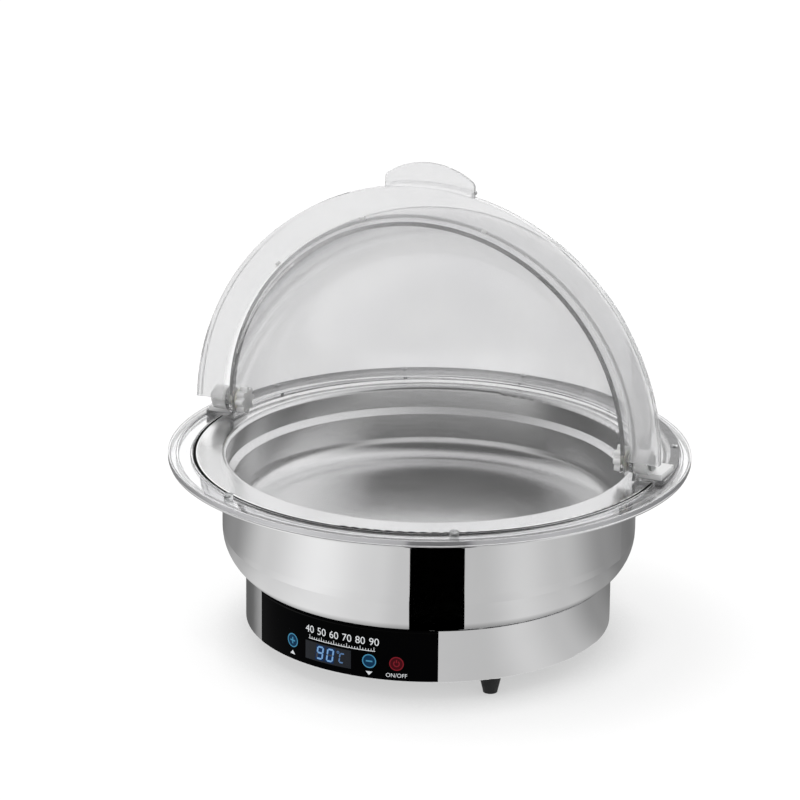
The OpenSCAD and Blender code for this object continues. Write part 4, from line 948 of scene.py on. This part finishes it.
lit = add_node(tree, "ShaderNodeMath", links={0: sky.outputs["Result"], 1: bent.outputs[0]},
               operation="MULTIPLY")
dimmed = add_node(tree, "ShaderNodeMath", links={0: lit.outputs[0], 1: open_share.outputs[0]},
                  operation="MULTIPLY")
ambient = add_node(tree, "ShaderNodeMath", {1: AMBIENT}, {0: sight["Is Diffuse Ray"]}, operation="MULTIPLY")
level = add_node(tree, "ShaderNodeMath", links={0: ambient.outputs[0], 1: dimmed.outputs[0]},
                 operation="MAXIMUM")
level_too = add_node(tree, "ShaderNodeMath", links={0: level.outputs[0], 1: sight["Is Camera Ray"]},
                     operation="MAXIMUM")
tree.links.new(level_too.outputs[0], tree.nodes["Background"].inputs["Strength"])
tree.nodes["Background"].inputs["Color"].default_value = (1, 1, 1, 1)

# One wide soft lamp from above and a little to the left, which only dull surfaces see.
SUN_STRENGTH, SUN_WIDTH, SUN_DIRECTION = 1.15, 40, (0.34, 0.08, -1.0)
sun_data = bpy.data.lights.new("soft_key", "SUN")
sun_data.energy = SUN_STRENGTH
sun_data.angle = math.radians(SUN_WIDTH)
sun = bpy.data.objects.new("soft_key", sun_data)
bpy.context.scene.collection.objects.link(sun)
sun.rotation_euler = Vector(SUN_DIRECTION).to_track_quat("-Z", "Y").to_euler()
sun.visible_glossy = sun.visible_transmission = False

# Camera: it stands off from the target and turns until the target falls on its pixel of the photograph.
SENSOR_MM = 36.0
CLIP_END = 60
camera_data = bpy.data.cameras.new("camera")
camera_data.sensor_width = SENSOR_MM
camera_data.lens = FOCAL_PIXELS / FRAME_PIXELS * SENSOR_MM
camera_data.clip_end = CLIP_END
camera = bpy.data.objects.new("camera", camera_data)
bpy.context.scene.collection.objects.link(camera)
right = Vector((math.cos(CAMERA_AZIMUTH), math.sin(CAMERA_AZIMUTH), 0))
up = TO_CAMERA.cross(right)
right, up = (right * math.cos(CAMERA_ROLL) - up * math.sin(CAMERA_ROLL),
             right * math.sin(CAMERA_ROLL) + up * math.cos(CAMERA_ROLL))
aim = [(p - FRAME_PIXELS / 2) / FOCAL_PIXELS for p in TARGET_PIXEL]
forward = (-TO_CAMERA - right * aim[0] + up * aim[1]).normalized()
right = forward.cross(up).normalized()
up = right.cross(forward)
turned = Matrix((right, up, -forward)).transposed().to_4x4()
camera.matrix_world = Matrix.Translation(CAMERA_TARGET + TO_CAMERA * CAMERA_DISTANCE) @ turned
bpy.context.scene.camera = camera
bpy.context.scene.view_settings.view_transform = "Standard"

# Light goes through many clear walls before it comes out again, so its paths may be long.
LIGHT_BOUNCES = 32
cycles = bpy.context.scene.cycles
cycles.max_bounces = cycles.glossy_bounces = cycles.transmission_bounces = LIGHT_BOUNCES
